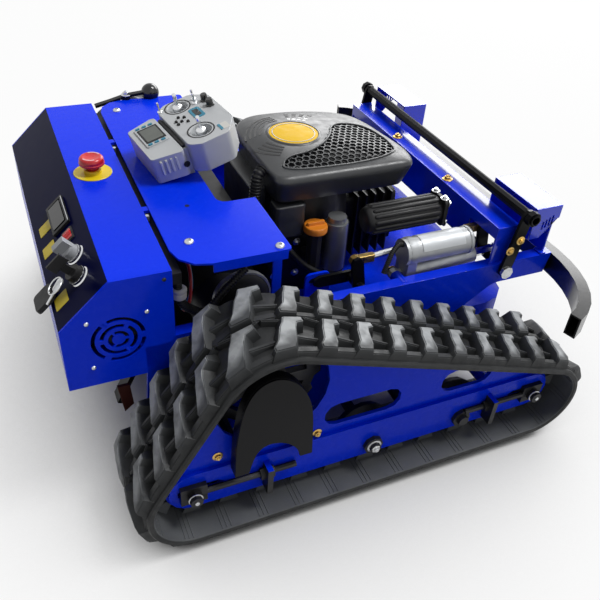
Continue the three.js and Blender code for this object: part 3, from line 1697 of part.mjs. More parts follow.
function shroudGrille() {
  const outline = grilleOutline(seat)
  const radius = (hexPitch - hexWall) / Math.sqrt(3)
  const rowStep = hexPitch * Math.sqrt(3) / 2
  const holes = []
  const bounds = new THREE.Box2().setFromPoints(outline)
  const rows = Math.ceil((bounds.max.y - bounds.min.y) / rowStep)
  const columns = Math.ceil((bounds.max.x - bounds.min.x) / hexPitch)
  for (let row = 0; row <= rows; row += 1) {
    for (let column = 0; column <= columns; column += 1) {
      const x = bounds.min.x + (column + (row % 2) / 2) * hexPitch
      const y = bounds.min.y + row * rowStep
      if (insideOutline(x, y, outline, radius + grilleEdge)) {
        holes.push(arc(x, y, radius, Math.PI / 6, Math.PI / 6 + fullTurn * 5 / 6, 5))
      }
    }
  }
  return alongZ(outline, shroudRim - grilleDepth, shroudRim + seat, holes)
}

piece('shroud_grille', shroudGrille(), 'shroudPlastic')

// Oil filler cap with a finger ridge

const capTaperShare = 0.94
const capRidgeShare = 0.9

function oilFillerCap() {
  const low = fillerTop - fillerCapDepth
  const disc = rod(
    [fillerX, fillerY, low], [fillerX, fillerY, fillerTop], fillerCapRadius, mediumRound,
    fillerCapRadius * capTaperShare,
  )
  const reach = fillerCapRadius * capRidgeShare
  const ridge = block(
    fillerX - reach, fillerX + reach, fillerY - sheet, fillerY + sheet, fillerTop - seat,
    fillerTop + fillerCapDepth / 2,
  )
  return join(disc, ridge)
}

piece('oil_filler_cap', oilFillerCap(), 'orangePlastic')

// Starter motor: upright can against the crankcase

const starterX = 408
const starterY = -128
const starterRadius = 20
const starterLow = deckTop + engineRise * 0.3186
const starterHigh = deckTop + engineRise * 0.7696
const starterNoseShare = 0.8

function starterMotor() {
  const can = rod(
    [starterX, starterY, starterLow], [starterX, starterY, starterHigh], starterRadius, mediumRound,
  )
  const nose = rod(
    [starterX, starterY, starterHigh - seat], [starterX, starterY, starterHigh + starterRadius / 2],
    starterRadius * starterNoseShare, mediumRound,
  )
  const lug = block(
    starterX - starterRadius / 2, starterX + starterRadius / 2, starterY, -crankcaseHalf - seat,
    starterLow + starterRadius / 2, crankcaseTop - starterRadius / 2,
  )
  return join(can, nose, lug)
}

piece('starter_motor', starterMotor(), 'steel')

// Muffler: ribbed can along the engine's right side, with its pipe to the cylinder

const mufflerY = -163
const mufflerZ = deckTop + engineRise * 0.8431
const mufflerRadius = 27
const mufflerRear = 438
const mufflerFront = 586
const mufflerFins = 5
const mufflerRib = 3
const mufflerEndShare = 0.8
const mufflerCollarShare = 1.2
const pipeRadius = 11
const mufflerPipeX = 545

function muffler() {
  const profile = [[0, mufflerRear], [mufflerRadius * mufflerEndShare, mufflerRear]]
  const run = (mufflerFront - mufflerRear) / (mufflerFins * 2)
  for (let k = 0; k < mufflerFins; k += 1) {
    const x = mufflerRear + run * (k * 2 + 1)
    profile.push(
      [mufflerRadius - mufflerRib, x - run / 2], [mufflerRadius, x], [mufflerRadius, x + run / 2],
      [mufflerRadius - mufflerRib, x + run],
    )
  }
  profile.push([mufflerRadius * mufflerEndShare, mufflerFront], [0, mufflerFront])
  const can = turned(profile, [0, mufflerY, mufflerZ], [1, 0, 0], smallRound)
  const knee = [mufflerPipeX, -cylinderHalf - finReach - pipeRadius, cylinderLow + cylinderHalf]
  const pipe = rod([mufflerPipeX, mufflerY + pipeRadius, mufflerZ - pipeRadius], knee, pipeRadius, smallRound)
  const stub = rod(
    knee, [mufflerPipeX, -cylinderHalf - finReach - seat, cylinderLow + cylinderHalf],
    pipeRadius * mufflerCollarShare, smallRound,
  )
  return join(can, pipe, stub)
}

piece('muffler', muffler(), 'blackPaint')

// Lift frame: cross shaft through the side plates, outside arms up to a tubular crossbar, and inboard levers

const armInside = 274
const armThickness = 6
const crossbarRadius = 9
const crossbarReach = 296
const collarRadius = 13
const collarLength = 10
const leverPlate = 6
const leverPinReach = eyeHalf + seat + sheet
const leverEndRadius = 11
const pinHeadRadius = 12

// Flat link with round ends, lying square to the Y axis.
function link(x0, z0, x1, z1, radius, low, high) {
  return alongY(slotOutline(x0, z0, x1, z1, radius, 3), low, high)
}

function liftFrame() {
  const forms = [
    rod([liftX, -armInside - seat, liftZ], [liftX, armInside + seat, liftZ], liftShaftRadius, mediumRound),
  ]
  forms.push(
    rod(
      [crossbarX, -crossbarReach, crossbarZ], [crossbarX, crossbarReach, crossbarZ], crossbarRadius,
      smallRound,
    ),
  )
  for (const side of [-1, 1]) {
    const span = (inner, outer) => [
      Math.min(side * inner, side * outer), Math.max(side * inner, side * outer),
    ]
    forms.push(
      link(liftX, liftZ, crossbarX, crossbarZ, leverEndRadius, ...span(armInside, armInside + armThickness)),
    )
    const head = armInside + armThickness - seat
    forms.push(
      rod(
        [liftX, side * head, liftZ], [liftX, side * (head + pinHeadRadius / 2), liftZ], pinHeadRadius,
        smallRound,
      ),
    )
    const collar = armInside + armThickness + sheet
    forms.push(
      rod(
        [crossbarX, side * collar, crossbarZ], [crossbarX, side * (collar + collarLength), crossbarZ],
        collarRadius, smallRound,
      ),
    )
    const pinZ = liftZ
    const leverIn = hangerY + hangerThickness / 2 + seat
    forms.push(link(liftX, pinZ, frontHangerX, pinZ, leverEndRadius, ...span(leverIn, leverIn + leverPlate)))
    const pinIn = hangerY - hangerThickness / 2 - pinGap
    forms.push(
      rod(
        [frontHangerX, side * pinIn, pinZ], [frontHangerX, side * (leverIn + seat), pinZ], hangerPinRadius,
        smallRound,
      ),
    )
    const rodLever = tieRodY + leverPinReach
    forms.push(
      link(
        liftX, liftZ, liftX + tieRodArmX, liftZ + tieRodArmZ, leverEndRadius,
        ...span(rodLever - sheet, rodLever + sheet),
      ),
    )
    const rodPin = span(tieRodY - leverPinReach + sheet, rodLever)
    const topX = liftX + tieRodArmX
    const topZ = liftZ + tieRodArmZ
    forms.push(rod([topX, rodPin[0], topZ], [topX, rodPin[1], topZ], hangerPinRadius, smallRound))
    const eyeLever = actuatorY + rodEyeHalf + seat + sheet
    forms.push(
      link(
        liftX, liftZ, actuatorEyeX, actuatorEyeZ, leverEndRadius, ...span(eyeLever - sheet, eyeLever + sheet),
      ),
    )
    const eyePin = span(actuatorY - rodEyeHalf - seat, eyeLever)
    forms.push(
      rod(
        [actuatorEyeX, eyePin[0], actuatorEyeZ], [actuatorEyeX, eyePin[1], actuatorEyeZ], hangerPinRadius,
        smallRound,
      ),
    )
  }
  return join(forms)
}

piece('lift_frame', liftFrame(), 'blackPaint')

// Rear lift levers: bell cranks on stub shafts in the side plates, joined to the lift frame by tie rods

const stubHead = 13

function rearLiftLever() {
  const z = liftZ - liftRearDrop
  const leverIn = hangerY + hangerThickness / 2 + seat
  const outer = sideFace + stubHead / 3
  const shaft = rod([liftRearX, leverIn, z], [liftRearX, outer, z], stubRadius, smallRound)
  const head = rod(
    [liftRearX, sideFace + seat, z], [liftRearX, outer + stubHead / 3, z], stubHead, smallRound,
  )
  const arm = link(liftRearX, z, rearHangerX, z, leverEndRadius, leverIn, leverIn + leverPlate)
  const pinIn = hangerY - hangerThickness / 2 - pinGap
  const pin = rod([rearHangerX, pinIn, z], [rearHangerX, leverIn + seat, z], hangerPinRadius, smallRound)
  const rodLever = tieRodY + leverPinReach
  const topX = liftRearX + tieRodArmX
  const topZ = z + tieRodArmZ
  const up = link(liftRearX, z, topX, topZ, leverEndRadius, rodLever - sheet, rodLever + sheet)
  const topPin = rod(
    [topX, tieRodY - leverPinReach + sheet, topZ], [topX, rodLever, topZ], hangerPinRadius, smallRound,
  )
  return join(shaft, head, arm, pin, up, topPin)
}

pair('rear_lift_lever', rearLiftLever(), 'blackPaint')

// Tie rods: bars with forked ends between the front and rear levers

const tieRodRadius = 5

function tieRod() {
  const rear = [liftRearX + tieRodArmX, tieRodY, liftZ - liftRearDrop + tieRodArmZ]
  const front = [liftX + tieRodArmX, tieRodY, liftZ + tieRodArmZ]
  const bar = rod(rear, front, tieRodRadius, smallRound)
  const eyes = [rear, front].map(
    ([x, y, z]) => rod([x, y - eyeHalf, z], [x, y + eyeHalf, z], eyeRadius, smallRound),
  )
  const bores = [rear, front].map(
    ([x, y, z]) => rod(
      [x, y - eyeHalf - overrun, z], [x, y + eyeHalf + overrun, z], eyeBoreRadius, smallRound,
    ),
  )
  return cut(join(bar, eyes), bores)
}

pair('tie_rod', tieRod(), 'zinc')

// Linear actuators: motor can beside a guide tube, with a chromed rod that pulls the lift frame

const canRadius = 23
const canZ = 322
const canRear = 478
const canFront = 606
const guideRadius = 15
const guideFront = 624
const actuatorRodRadius = 8
const gearHousingRear = 483
const gearHousingFront = 500
const housingHalf = 18.4

function actuatorBody() {
  const y = actuatorY
  const slope = (actuatorEyeZ - actuatorPinZ) / (actuatorEyeX - actuatorPinX)
  const tubeZ = (x) => actuatorPinZ + (x - actuatorPinX) * slope
  const tube = rod(
    [gearHousingFront - overrun, y, tubeZ(gearHousingFront - overrun)], [guideFront, y, tubeZ(guideFront)],
    guideRadius, mediumRound,
  )
  const can = rod([canRear, y, canZ], [canFront, y, canZ], canRadius, mediumRound)
  const housing = alongY(
    rectangle(
      gearHousingRear, gearHousingFront, actuatorPinZ - guideRadius, canZ + canRadius / 2, guideRadius / 2,
    ),
    y - housingHalf, y + housingHalf,
  )
  const saddle = block(
    canFront - canRadius, canFront - canRadius / 3, y - guideRadius / 2, y + guideRadius / 2, tubeZ(canFront),
    canZ,
  )
  const eye = rod(
    [actuatorPinX, y - eyeHalf, actuatorPinZ], [actuatorPinX, y + eyeHalf, actuatorPinZ], eyeRadius,
    smallRound,
  )
  const neck = block(
    actuatorPinX, gearHousingRear + overrun, y - eyeHalf, y + eyeHalf, actuatorPinZ - eyeRadius / 2,
    actuatorPinZ + eyeRadius / 2,
  )
  const eyeBore = rod(
    [actuatorPinX, y - eyeHalf - overrun, actuatorPinZ], [actuatorPinX, y + eyeHalf + overrun, actuatorPinZ],
    eyeBoreRadius, smallRound,
  )
  const boreStart = gearHousingFront
  const bore = rod(
    [boreStart, y, tubeZ(boreStart)], [guideFront + overrun, y, tubeZ(guideFront + overrun)],
    actuatorRodRadius + runningGap, mediumRound,
  )
  return cut(join(tube, can, housing, saddle, eye, neck), eyeBore, bore)
}

function actuatorRod() {
  const y = actuatorY
  const slope = (actuatorEyeZ - actuatorPinZ) / (actuatorEyeX - actuatorPinX)
  const start = gearHousingFront + liftLever / 2
  const bar = rod(
    [start, y, actuatorPinZ + (start - actuatorPinX) * slope], [actuatorEyeX, y, actuatorEyeZ],
    actuatorRodRadius, smallRound,
  )
  const eye = rod(
    [actuatorEyeX, y - rodEyeHalf, actuatorEyeZ], [actuatorEyeX, y + rodEyeHalf, actuatorEyeZ], eyeRadius,
    smallRound,
  )
  const bore = rod(
    [actuatorEyeX, y - rodEyeHalf - overrun, actuatorEyeZ],
    [actuatorEyeX, y + rodEyeHalf + overrun, actuatorEyeZ],
    eyeBoreRadius, smallRound,
  )
  return cut(join(bar, eye), bore)
}

pair('actuator', actuatorBody(), 'aluminium')
pair('actuator_rod', actuatorRod(), 'steel')

// Hand-held transmitter lying on the cover: lower display end, two gimbal wells with sticks, and a foot below

const handsetX = 126
const handsetY = -56
const handsetYaw = 0.122
const handsetPitch = -0.262
const handsetLength = 150
const handsetWidth = 130
const handsetGrip = 25
const handsetHeight = 50
const displayEnd = 52
const displayEndWidth = 107
const strapGroove = 8
const strapDepth = 10
const displayDrop = 6
const gimbalX = 93
const gimbalNear = 12
const gimbalFar = 106
const gimbalRadius = 19
const gimbalDepth = 12
const gimbalFloorShare = 0.7
const gimbalBall = 9
const stickRadius = 3
const stickHeight = 24
const stickHead = 6
const stickFlareShare = 0.7
const footRear = 38
const footFront = 64

function inHandset(geometry) {
  const yaw = new THREE.Matrix4().makeRotationZ(handsetYaw)
  const pitch = new THREE.Matrix4().makeRotationY(handsetPitch)
  const place = new THREE.Matrix4().makeTranslation(handsetX, handsetY, boxTop + seat)
  return geometry.applyMatrix4(place.multiply(yaw).multiply(pitch))
}

function transmitter() {
  const corner = handsetGrip / 2
  const frontPlan = filleted([
    [displayEnd + strapGroove, -handsetGrip / 2, corner], [displayEnd + handsetGrip, -handsetGrip, corner],
    [handsetLength - handsetGrip, -handsetGrip, corner], [handsetLength, corner, corner],
    [handsetLength, handsetWidth - handsetGrip, corner], [handsetLength - handsetGrip, handsetWidth, corner],
    [displayEnd + handsetGrip, handsetWidth, corner],
    [displayEnd + strapGroove, handsetWidth - handsetGrip / 2, corner],
  ])
  const front = alongZ(frontPlan, 0, handsetHeight)
  const rearPlan = filleted([
    [0, 0, corner / 2], [displayEnd, -handsetGrip / 2, corner / 2],
    [displayEnd, displayEndWidth + corner, corner / 2], [0, displayEndWidth, corner / 2],
  ])
  const rear = alongZ(rearPlan, 0, handsetHeight - displayDrop)
  const neck = block(displayEnd - seat, handsetLength / 2, 0, displayEndWidth, 0, handsetHeight - strapDepth)
  const wells = [gimbalNear, gimbalFar].map((y) => {
    return rod(
      [gimbalX, y, handsetHeight - gimbalDepth], [gimbalX, y, handsetHeight + overrun],
      gimbalRadius * gimbalFloorShare, mediumRound, gimbalRadius,
    )
  })
  const foot = block(footRear, footFront, corner, displayEndWidth - corner, -handsetGrip, seat)
  const body = inHandset(cut(join(front, rear, neck, foot), wells))
  const reach = handsetLength * 2
  const ground = block(
    handsetX - reach, handsetX + reach, handsetY - reach, handsetY + reach, boxTop - reach, boxTop + seat,
  )
  return cut(body, ground)
}

function transmitterStick(y) {
  const pivot = handsetHeight - gimbalDepth + seat + gimbalBall
  const high = handsetHeight + stickHeight
  const ball = new THREE.SphereGeometry(gimbalBall, 12, 6).rotateX(Math.PI / 2).translate(gimbalX, y, pivot)
  const stick = rod([gimbalX, y, pivot], [gimbalX, y, high], stickRadius, smallRound)
  const head = rod(
    [gimbalX, y, high - stickHead * 2], [gimbalX, y, high], stickHead / 2, smallRound,
    stickHead * stickFlareShare,
  )
  return inHandset(join(ball, stick, head))
}

piece('transmitter', transmitter(), 'palePlastic')
piece('transmitter_stick_right', transmitterStick(gimbalNear), 'steel')
piece('transmitter_stick_left', transmitterStick(gimbalFar), 'steel')

// Wiring conduit: from the control box's front wall, down past the cover's corner to the right gear motor

const conduitRadius = 7
const conduitSteps = 16
const conduitSide = 236
const conduitHigh = 372
const conduitBend = 8
const conduitLean = 2
const conduitLanding = fullTurn * 12 / mediumRound

// Places along the conduit: steps out from the box, towards the side and down, counted in bends and leans
const conduitSteppings = [
  [1, 0, 0], [2, 1, 1.5], [2.25, 2, 4], [2.875, 2, 6.75], [4.625, 1.5, 8.75],
]

// Point beside the right gear motor, facing the corner of its can where the conduit ends.
function besideMotor(clear) {
  const reach = motorRadius + clear
  const y = -conduitSide - conduitLean
  return [sprocketX + reach * Math.sin(conduitLanding), y, sprocketZ + reach * Math.cos(conduitLanding)]
}

function wiringConduit() {
  const start = [boxFront + seat, -conduitSide, conduitHigh]
  const bends = conduitSteppings.map(([out, aside, down]) => {
    return [
      boxFront + conduitBend * out, -conduitSide - conduitLean * aside, conduitHigh - conduitBend * down,
    ]
  })
  const route = [start, ...bends, besideMotor(conduitRadius), besideMotor(seat)]
  const points = route.map((place) => new THREE.Vector3(...place))
  const path = new THREE.CatmullRomCurve3(points)
  return swept(circle(0, 0, conduitRadius, smallRound), path, conduitSteps)
}

piece('wiring_conduit', wiringConduit(), 'blackPlastic')

// Puts the origin on the ground below the middle of the whole machine.
const bounds = new THREE.Box3().setFromObject(group)
const middle = bounds.getCenter(new THREE.Vector3())
group.position.set(-middle.x, -middle.y, -bounds.min.z)
group.updateMatrixWorld(true)

export default group
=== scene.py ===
"""Looks of a remote control slope mower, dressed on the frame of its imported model."""
import json
import math

import bmesh
import bpy
from mathutils import Matrix, Vector

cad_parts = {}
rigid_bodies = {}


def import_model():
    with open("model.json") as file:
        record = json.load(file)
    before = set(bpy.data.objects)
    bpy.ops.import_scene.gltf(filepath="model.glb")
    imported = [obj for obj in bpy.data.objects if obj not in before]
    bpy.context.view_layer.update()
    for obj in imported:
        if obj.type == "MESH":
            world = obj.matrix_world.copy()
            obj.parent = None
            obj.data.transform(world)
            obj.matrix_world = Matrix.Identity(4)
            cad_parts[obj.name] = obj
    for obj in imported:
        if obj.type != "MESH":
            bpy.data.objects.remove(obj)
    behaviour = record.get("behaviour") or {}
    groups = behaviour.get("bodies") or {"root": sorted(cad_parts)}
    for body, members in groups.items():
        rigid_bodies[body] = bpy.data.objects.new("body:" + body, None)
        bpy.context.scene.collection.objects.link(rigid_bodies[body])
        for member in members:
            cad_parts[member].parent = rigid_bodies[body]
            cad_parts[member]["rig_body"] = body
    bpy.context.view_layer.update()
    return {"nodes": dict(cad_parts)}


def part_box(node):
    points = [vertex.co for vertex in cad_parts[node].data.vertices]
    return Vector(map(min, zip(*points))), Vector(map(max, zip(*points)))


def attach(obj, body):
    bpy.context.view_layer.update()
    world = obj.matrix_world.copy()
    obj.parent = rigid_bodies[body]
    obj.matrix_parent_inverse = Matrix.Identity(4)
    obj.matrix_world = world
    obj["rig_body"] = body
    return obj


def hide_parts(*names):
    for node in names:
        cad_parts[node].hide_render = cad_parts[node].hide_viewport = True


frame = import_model()
nodes = frame["nodes"]


# Camera and studio: the machine is seen from its right rear corner and from above, on white paper.
# The lens is a normal one and stands a little off the axis. A broad lamp in front and above lights
# the tops, and the rear faces stay in the shade of the room.

scene = bpy.context.scene
scene.view_settings.view_transform = "Standard"

CAMERA_AT = Vector((-0.4509, -1.0167, 0.9517))
YAW, PITCH, ROLL = math.radians(26.05), math.radians(37.95), math.radians(4.53)
FOCAL_SHARE = 697.2 / 600
SENSOR = 36
LENS_SHIFT = 3.5 / 600

ahead = Vector((math.sin(YAW) * math.cos(PITCH), math.cos(YAW) * math.cos(PITCH), -math.sin(PITCH)))
level = Vector((math.cos(YAW), -math.sin(YAW), 0))
raised = level.cross(ahead)
across = level * math.cos(ROLL) + raised * math.sin(ROLL)
upward = raised * math.cos(ROLL) - level * math.sin(ROLL)


def stood(name, data):
    """An object that carries data, linked into the scene."""
    made = bpy.data.objects.new(name, data)
    scene.collection.objects.link(made)
    return made


lens = bpy.data.cameras.new("camera")
lens.sensor_width = SENSOR
lens.lens = SENSOR * FOCAL_SHARE
lens.shift_x = LENS_SHIFT
camera = stood("camera", lens)
camera.matrix_world = Matrix.Translation(CAMERA_AT) @ Matrix((across, upward, -ahead)).transposed().to_4x4()
scene.camera = camera


def hung(light, towards, place=(0, 0, 0)):
    """Hangs a light in the room, with its beam going one way."""
    made = stood(light.name, light)
    made.location = place
    made.rotation_mode = "QUATERNION"
    made.rotation_quaternion = Vector(towards).to_track_quat("-Z", "Y")


for name, strength, spread, towards in (
    ("front_lamp", 2.3, 20, (-0.5, 0.12, -0.9)), ("side_lamp", 0.2, 50, (-0.35, 0.85, -0.5)),
):
    sun = bpy.data.lights.new(name, "SUN")
    sun.energy = strength
    sun.angle = math.radians(spread)
    hung(sun, towards)

softbox = bpy.data.lights.new("softbox", "AREA")
softbox.shape = "RECTANGLE"
softbox.size, softbox.size_y = 3.4, 1.5
softbox.energy = 105
hung(softbox, (-0.55, -0.72, -0.33), (2.7, 2.5, 1.75))


class Value:
    """A socket that carries numbers: arithmetic on it adds Math nodes beside it."""

    def __init__(self, socket):
        self.socket = socket

    def math(self, operation, *terms):
        """One Math node of any kind, fed with the terms in order."""
        fields = {f"_{k}": term for k, term in enumerate(terms)}
        return Value(wired(self.socket.id_data, "ShaderNodeMath", {"operation": operation}, **fields)[0])

    def __add__(self, other):
        return self.math("ADD", self, other)

    def __mul__(self, other):
        return self.math("MULTIPLY", self, other)


def joined(socket, value):
    """Gives a socket a plain value, or links it to another node's output."""
    if isinstance(value, Value):
        value = value.socket
    if isinstance(value, bpy.types.NodeSocket):
        socket.id_data.links.new(socket, value)
    else:
        socket.default_value = value


def wired(tree, kind, settings=None, **fields):
    """Outputs of a new node: its settings come first, then its sockets by name or, as _0, by number."""
    made = tree.nodes.new(kind)
    for name, setting in (settings or {}).items():
        setattr(made, name, setting)
    for name, value in fields.items():
        joined(made.inputs[int(name[1:]) if name[1:].isdigit() else name.replace("_", " ")], value)
    return made.outputs


def seen_as_paper(tree):
    """One for rays from the camera, and for those that polish or glass sends on."""
    rays = wired(tree, "ShaderNodeLightPath")
    camera_ray, glossy_ray = Value(rays["Is Camera Ray"]), Value(rays["Is Glossy Ray"])
    sent_on = glossy_ray.math("MAXIMUM", glossy_ray, rays["Is Transmission Ray"])
    return camera_ray.math("MAXIMUM", camera_ray, sent_on)


ROOM_STRENGTH = 0.42
BRIGHT_SIDE = (0.55, 0.5, 0.67)

world = bpy.data.worlds.new("room")
world.use_nodes = True
scene.world = world
room = world.node_tree
room.nodes.clear()
outward = wired(room, "ShaderNodeTexCoord")["Generated"]
brightness = wired(room, "ShaderNodeVectorMath", {"operation": "DOT_PRODUCT"}, _0=outward, _1=BRIGHT_SIDE)
room_tone = wired(room, "ShaderNodeMapRange", Value=brightness["Value"],
                  From_Min=-0.5, From_Max=0.7, To_Min=0.06, To_Max=1.0)
room_light = wired(room, "ShaderNodeBackground", Color=room_tone["Result"], Strength=ROOM_STRENGTH)
room_paper = wired(room, "ShaderNodeBackground", Color=(1, 1, 1, 1))
room_mix = wired(room, "ShaderNodeMixShader", _0=seen_as_paper(room), _1=room_light[0], _2=room_paper[0])
wired(room, "ShaderNodeOutputWorld", Surface=room_mix[0])

FLOOR_HALF = 12
PAPER_TONE = (0.45, 0.45, 0.45, 1)
SHADOW_REACH, SHADOW_DARKEST, SHADOW_END, PAPER_SHARE = 0.6, 0.3, 0.9, 0.93

floor_mesh = bpy.data.meshes.new("floor")
floor_corners = [(x * FLOOR_HALF, y * FLOOR_HALF, 0) for x, y in ((-1, -1), (1, -1), (1, 1), (-1, 1))]
floor_mesh.from_pydata(floor_corners, [], [(0, 1, 2, 3)])
floor = stood("floor", floor_mesh)
paper = bpy.data.materials.new("paper")
paper.use_nodes = True
sheet = paper.node_tree
matt = sheet.nodes["Principled BSDF"]
matt.inputs["Base Color"].default_value = PAPER_TONE
matt.inputs["Roughness"].default_value = 0.9
open_sky = wired(sheet, "ShaderNodeAmbientOcclusion", Distance=SHADOW_REACH)
open_share = wired(sheet, "ShaderNodeMapRange", Value=open_sky["AO"],
                   From_Min=SHADOW_DARKEST, From_Max=SHADOW_END, To_Max=PAPER_SHARE)
paper_share = seen_as_paper(sheet) * open_share["Result"]
glow = wired(sheet, "ShaderNodeEmission")
paper_mix = wired(sheet, "ShaderNodeMixShader", _0=paper_share, _1=matt.outputs[0], _2=glow[0])
sheet.links.new(sheet.nodes["Material Output"].inputs["Surface"], paper_mix[0])
floor.data.materials.append(paper)


# Blue sheet metal: chassis sides, control box, top cover, deck, crossbeam and hoods. Steel sheet, cut by
# laser and folded, under a glossy blue powder coat with a faint orange peel that rounds its edges
# slightly. The bumper and the tray are coated black.


class Finish:
    """A procedural material: its Principled shader, and the nodes that feed it."""

    def __init__(self, name, color, roughness, metallic=0.0, coat=0.0, coat_roughness=0.1):
        self.material = bpy.data.materials.new(name)
        self.material.use_nodes = True
        self.tree = self.material.node_tree
        self.shader = self.tree.nodes["Principled BSDF"]
        self.color = (*color, 1)
        self.feed("Base Color", self.color)
        self.feed("Roughness", roughness)
        self.feed("Metallic", metallic)
        self.feed("Coat Weight", coat)
        self.feed("Coat Roughness", coat_roughness)
        self.place = self.node("ShaderNodeTexCoord", output="Object")

    def feed(self, socket, value):
        """Gives the shader's socket a value or another node's output."""
        joined(self.shader.inputs[socket], value)

    def node(self, kind, settings=None, output=0, **fields):
        """One output of a new node in this material."""
        return Value(wired(self.tree, kind, settings, **fields)[output])

    def noise(self, scale, detail=3.0):
        """Cloudy noise over the piece."""
        return self.node("ShaderNodeTexNoise", Vector=self.place, Scale=scale, Detail=detail)

    def band(self, value, low, high, bottom=0.0, top=1.0):
        """A value's range between two limits, spread over another range."""
        return self.node("ShaderNodeMapRange", Value=value,
                         From_Min=low, From_Max=high, To_Min=bottom, To_Max=top)

    def blend(self, share, first, second):
        """The first colour with a share of the second."""
        return self.node("ShaderNodeMix", {"data_type": "RGBA"}, 2, _0=share, _6=first, _7=second)

    def clouded(self, scale, detail, shade):
        """Lets the colour drift towards a second shade."""
        self.feed("Base Color", self.blend(self.noise(scale, detail), self.color, (*shade, 1)))

    def uneven(self, scale, detail, low, high):
        """Lets the gloss drift between two roughnesses."""
        self.feed("Roughness", self.band(self.noise(scale, detail), 0.3, 0.7, low, high))

    def relief(self, height, strength, distance):
        """Fine bumps from a height."""
        bump = self.node("ShaderNodeBump", Height=height, Strength=strength, Distance=distance)
        self.feed("Normal", bump)


def powder_coat(name, color, shade, roughness, gloss, coat=0.0):
    """Sprayed and baked paint: cloudy in tone, a little uneven in gloss, with a faint orange peel."""
    finish = Finish(name, color, roughness, coat=coat, coat_roughness=0.12)
    finish.feed("Specular IOR Level", gloss)
    finish.clouded(9, 4, shade)
    finish.uneven(60, 5, roughness - 0.02, roughness + 0.04)
    finish.relief(finish.noise(900, 2), 0.05, 0.0004)
    return finish.material


BLUE = (0.0, 0.032, 0.80)
BLUE_SHADE = (0.0, 0.028, 0.73)
blue_paint = powder_coat("blue_powder_coat", BLUE, BLUE_SHADE, 0.26, 0.05, 0.07)
bright_blue_paint = powder_coat("bright_blue_powder_coat", BLUE, BLUE_SHADE, 0.3, 0.09, 1.0)
# Navy as painted shade: the control box's sloping rear panel gets it in place of its blue.
painted_shade_navy = powder_coat("navy_powder_coat", (0.0, 0.001, 0.035), (0.0, 0.001, 0.022), 0.3, 0.02)
BLACK, BLACK_SHADE = (0.005, 0.005, 0.006), (0.009, 0.009, 0.010)
black_paint = powder_coat("black_powder_coat", BLACK, BLACK_SHADE, 0.3, 0.1)
bright_black_paint = powder_coat("bright_black_powder_coat", BLACK, BLACK_SHADE, 0.3, 0.1, 0.6)


def shaded(mesh, angle=30):
    """Smooth faces with edges kept sharp where they turn by more than the angle."""
    form = bmesh.new()
    form.from_mesh(mesh)
    limit = math.radians(angle)
    for face in form.faces:
        face.smooth = True
    for edge in form.edges:
        edge.smooth = len(edge.link_faces) == 2 and edge.calc_face_angle(0) < limit
    form.to_mesh(mesh)
    form.free()


def finished(name, mesh, material, body, angle=30, bevel=0.0):
    """Links a mesh in its place as a piece of a body, with rounded edges where asked."""
    if not mesh.materials:
        mesh.materials.append(material)
    made = stood(name, mesh)
    shaded(mesh, angle)
    if bevel:
        rounding = made.modifiers.new("rounded_edges", "BEVEL")
        rounding.width = bevel
        rounding.segments = 2
        rounding.limit_method = "ANGLE"
        rounding.angle_limit = math.radians(angle)
        rounding.harden_normals = True
        rounding.use_clamp_overlap = True
    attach(made, body)
    return made


def merged_copy(node):
    """The node's solid with its loose triangles joined into clean flat faces."""
    form = bmesh.new()
    form.from_mesh(nodes[node].data)
    bmesh.ops.remove_doubles(form, verts=form.verts, dist=0.00002)
    bmesh.ops.dissolve_limit(form, angle_limit=math.radians(1.0), verts=form.verts, edges=form.edges)
    mesh = bpy.data.meshes.new(node + "_form")
    form.to_mesh(mesh)
    form.free()
    return mesh


SHEET_EDGE = 0.0008


def dressed(node, material, bevel=SHEET_EDGE, angle=30, others=()):
    """A piece with the node's own shape and softened edges, which stands for the node.

    Each of the others is one more material, and a test of a face's middle and normal for where it goes.
    """
    mesh = merged_copy(node)
    mesh.materials.append(material)
    for index, (other, belongs) in enumerate(others, 1):
        mesh.materials.append(other)
        for face in mesh.polygons:
            if belongs(face.center, face.normal):
                face.material_index = index
    piece = finished(node + "_finished", mesh, material, nodes[node]["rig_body"], angle, bevel)
    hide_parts(node)
    return piece


def on_rear_panel(_, normal):
    """True on the control box's sloping panel, which is given navy as painted shade."""
    return normal.x < -0.5 and normal.z > 0.5


def on_top(_, normal):
    """True on faces that look up, where the coat is smooth and bright."""
    return normal.z > 0.8


for name in ("chassis_side_left", "chassis_side_right"):
    dressed(name, blue_paint, SHEET_EDGE, 30, [(bright_blue_paint, on_top)])
for name in ("control_box_cover_left", "top_cover", "mower_deck"):
    dressed(name, blue_paint)
# The sloping rear panel takes the navy as painted shade.
dressed("control_box_shell", blue_paint, SHEET_EDGE, 30, [(painted_shade_navy, on_rear_panel)])
for name in ("front_crossbeam", "front_hood_left", "front_hood_right"):
    dressed(name, bright_blue_paint)
dressed("front_bumper", bright_black_paint)
dressed("chassis_tray", black_paint)


# Rubber tracks: endless belts of black rubber with thirty links each. A link carries two slanting lugs
# with T-shaped crowns, tied by low buttresses, and guide cogs and fine ribs on its inner face. The
# rubber's colour is painted light and shade by height: the pockets keep the dark base as painted shade
# and the flanks turn greyer upwards as painted light, with faint dust over them. The crowns are painted
# pale, partly as painted light on the crests and partly as scuffs where they meet the ground, and the
# inner face is painted a lighter grey as painted light.

SETBACK = 360
BELT_WIDTH, BELT_INSIDE, BELT_THICKNESS, BELT_EDGE = 150, 285, 10, 2.5
LUG_HEIGHT, PITCH_LENGTH, LINKS = 18, 60, 30
AXLE_HEIGHT, IDLER_LINE = 94, 71.0
AXLES = (68, 680.7)
WHEELS = ((AXLES[0], AXLE_HEIGHT, IDLER_LINE), (AXLES[1], AXLE_HEIGHT, IDLER_LINE), (190, 247, 95.493))
BELT_STEPS = 10
ARC_STEP = 4


def millimetres(x, y, z):
    """A place on the machine, with x measured from the control box's rear top edge."""
    return Vector((x - SETBACK, y, z)) / 1000


MM = Matrix.Scale(0.001, 4)
MACHINE = Matrix.Translation(millimetres(0, 0, 0)) @ MM


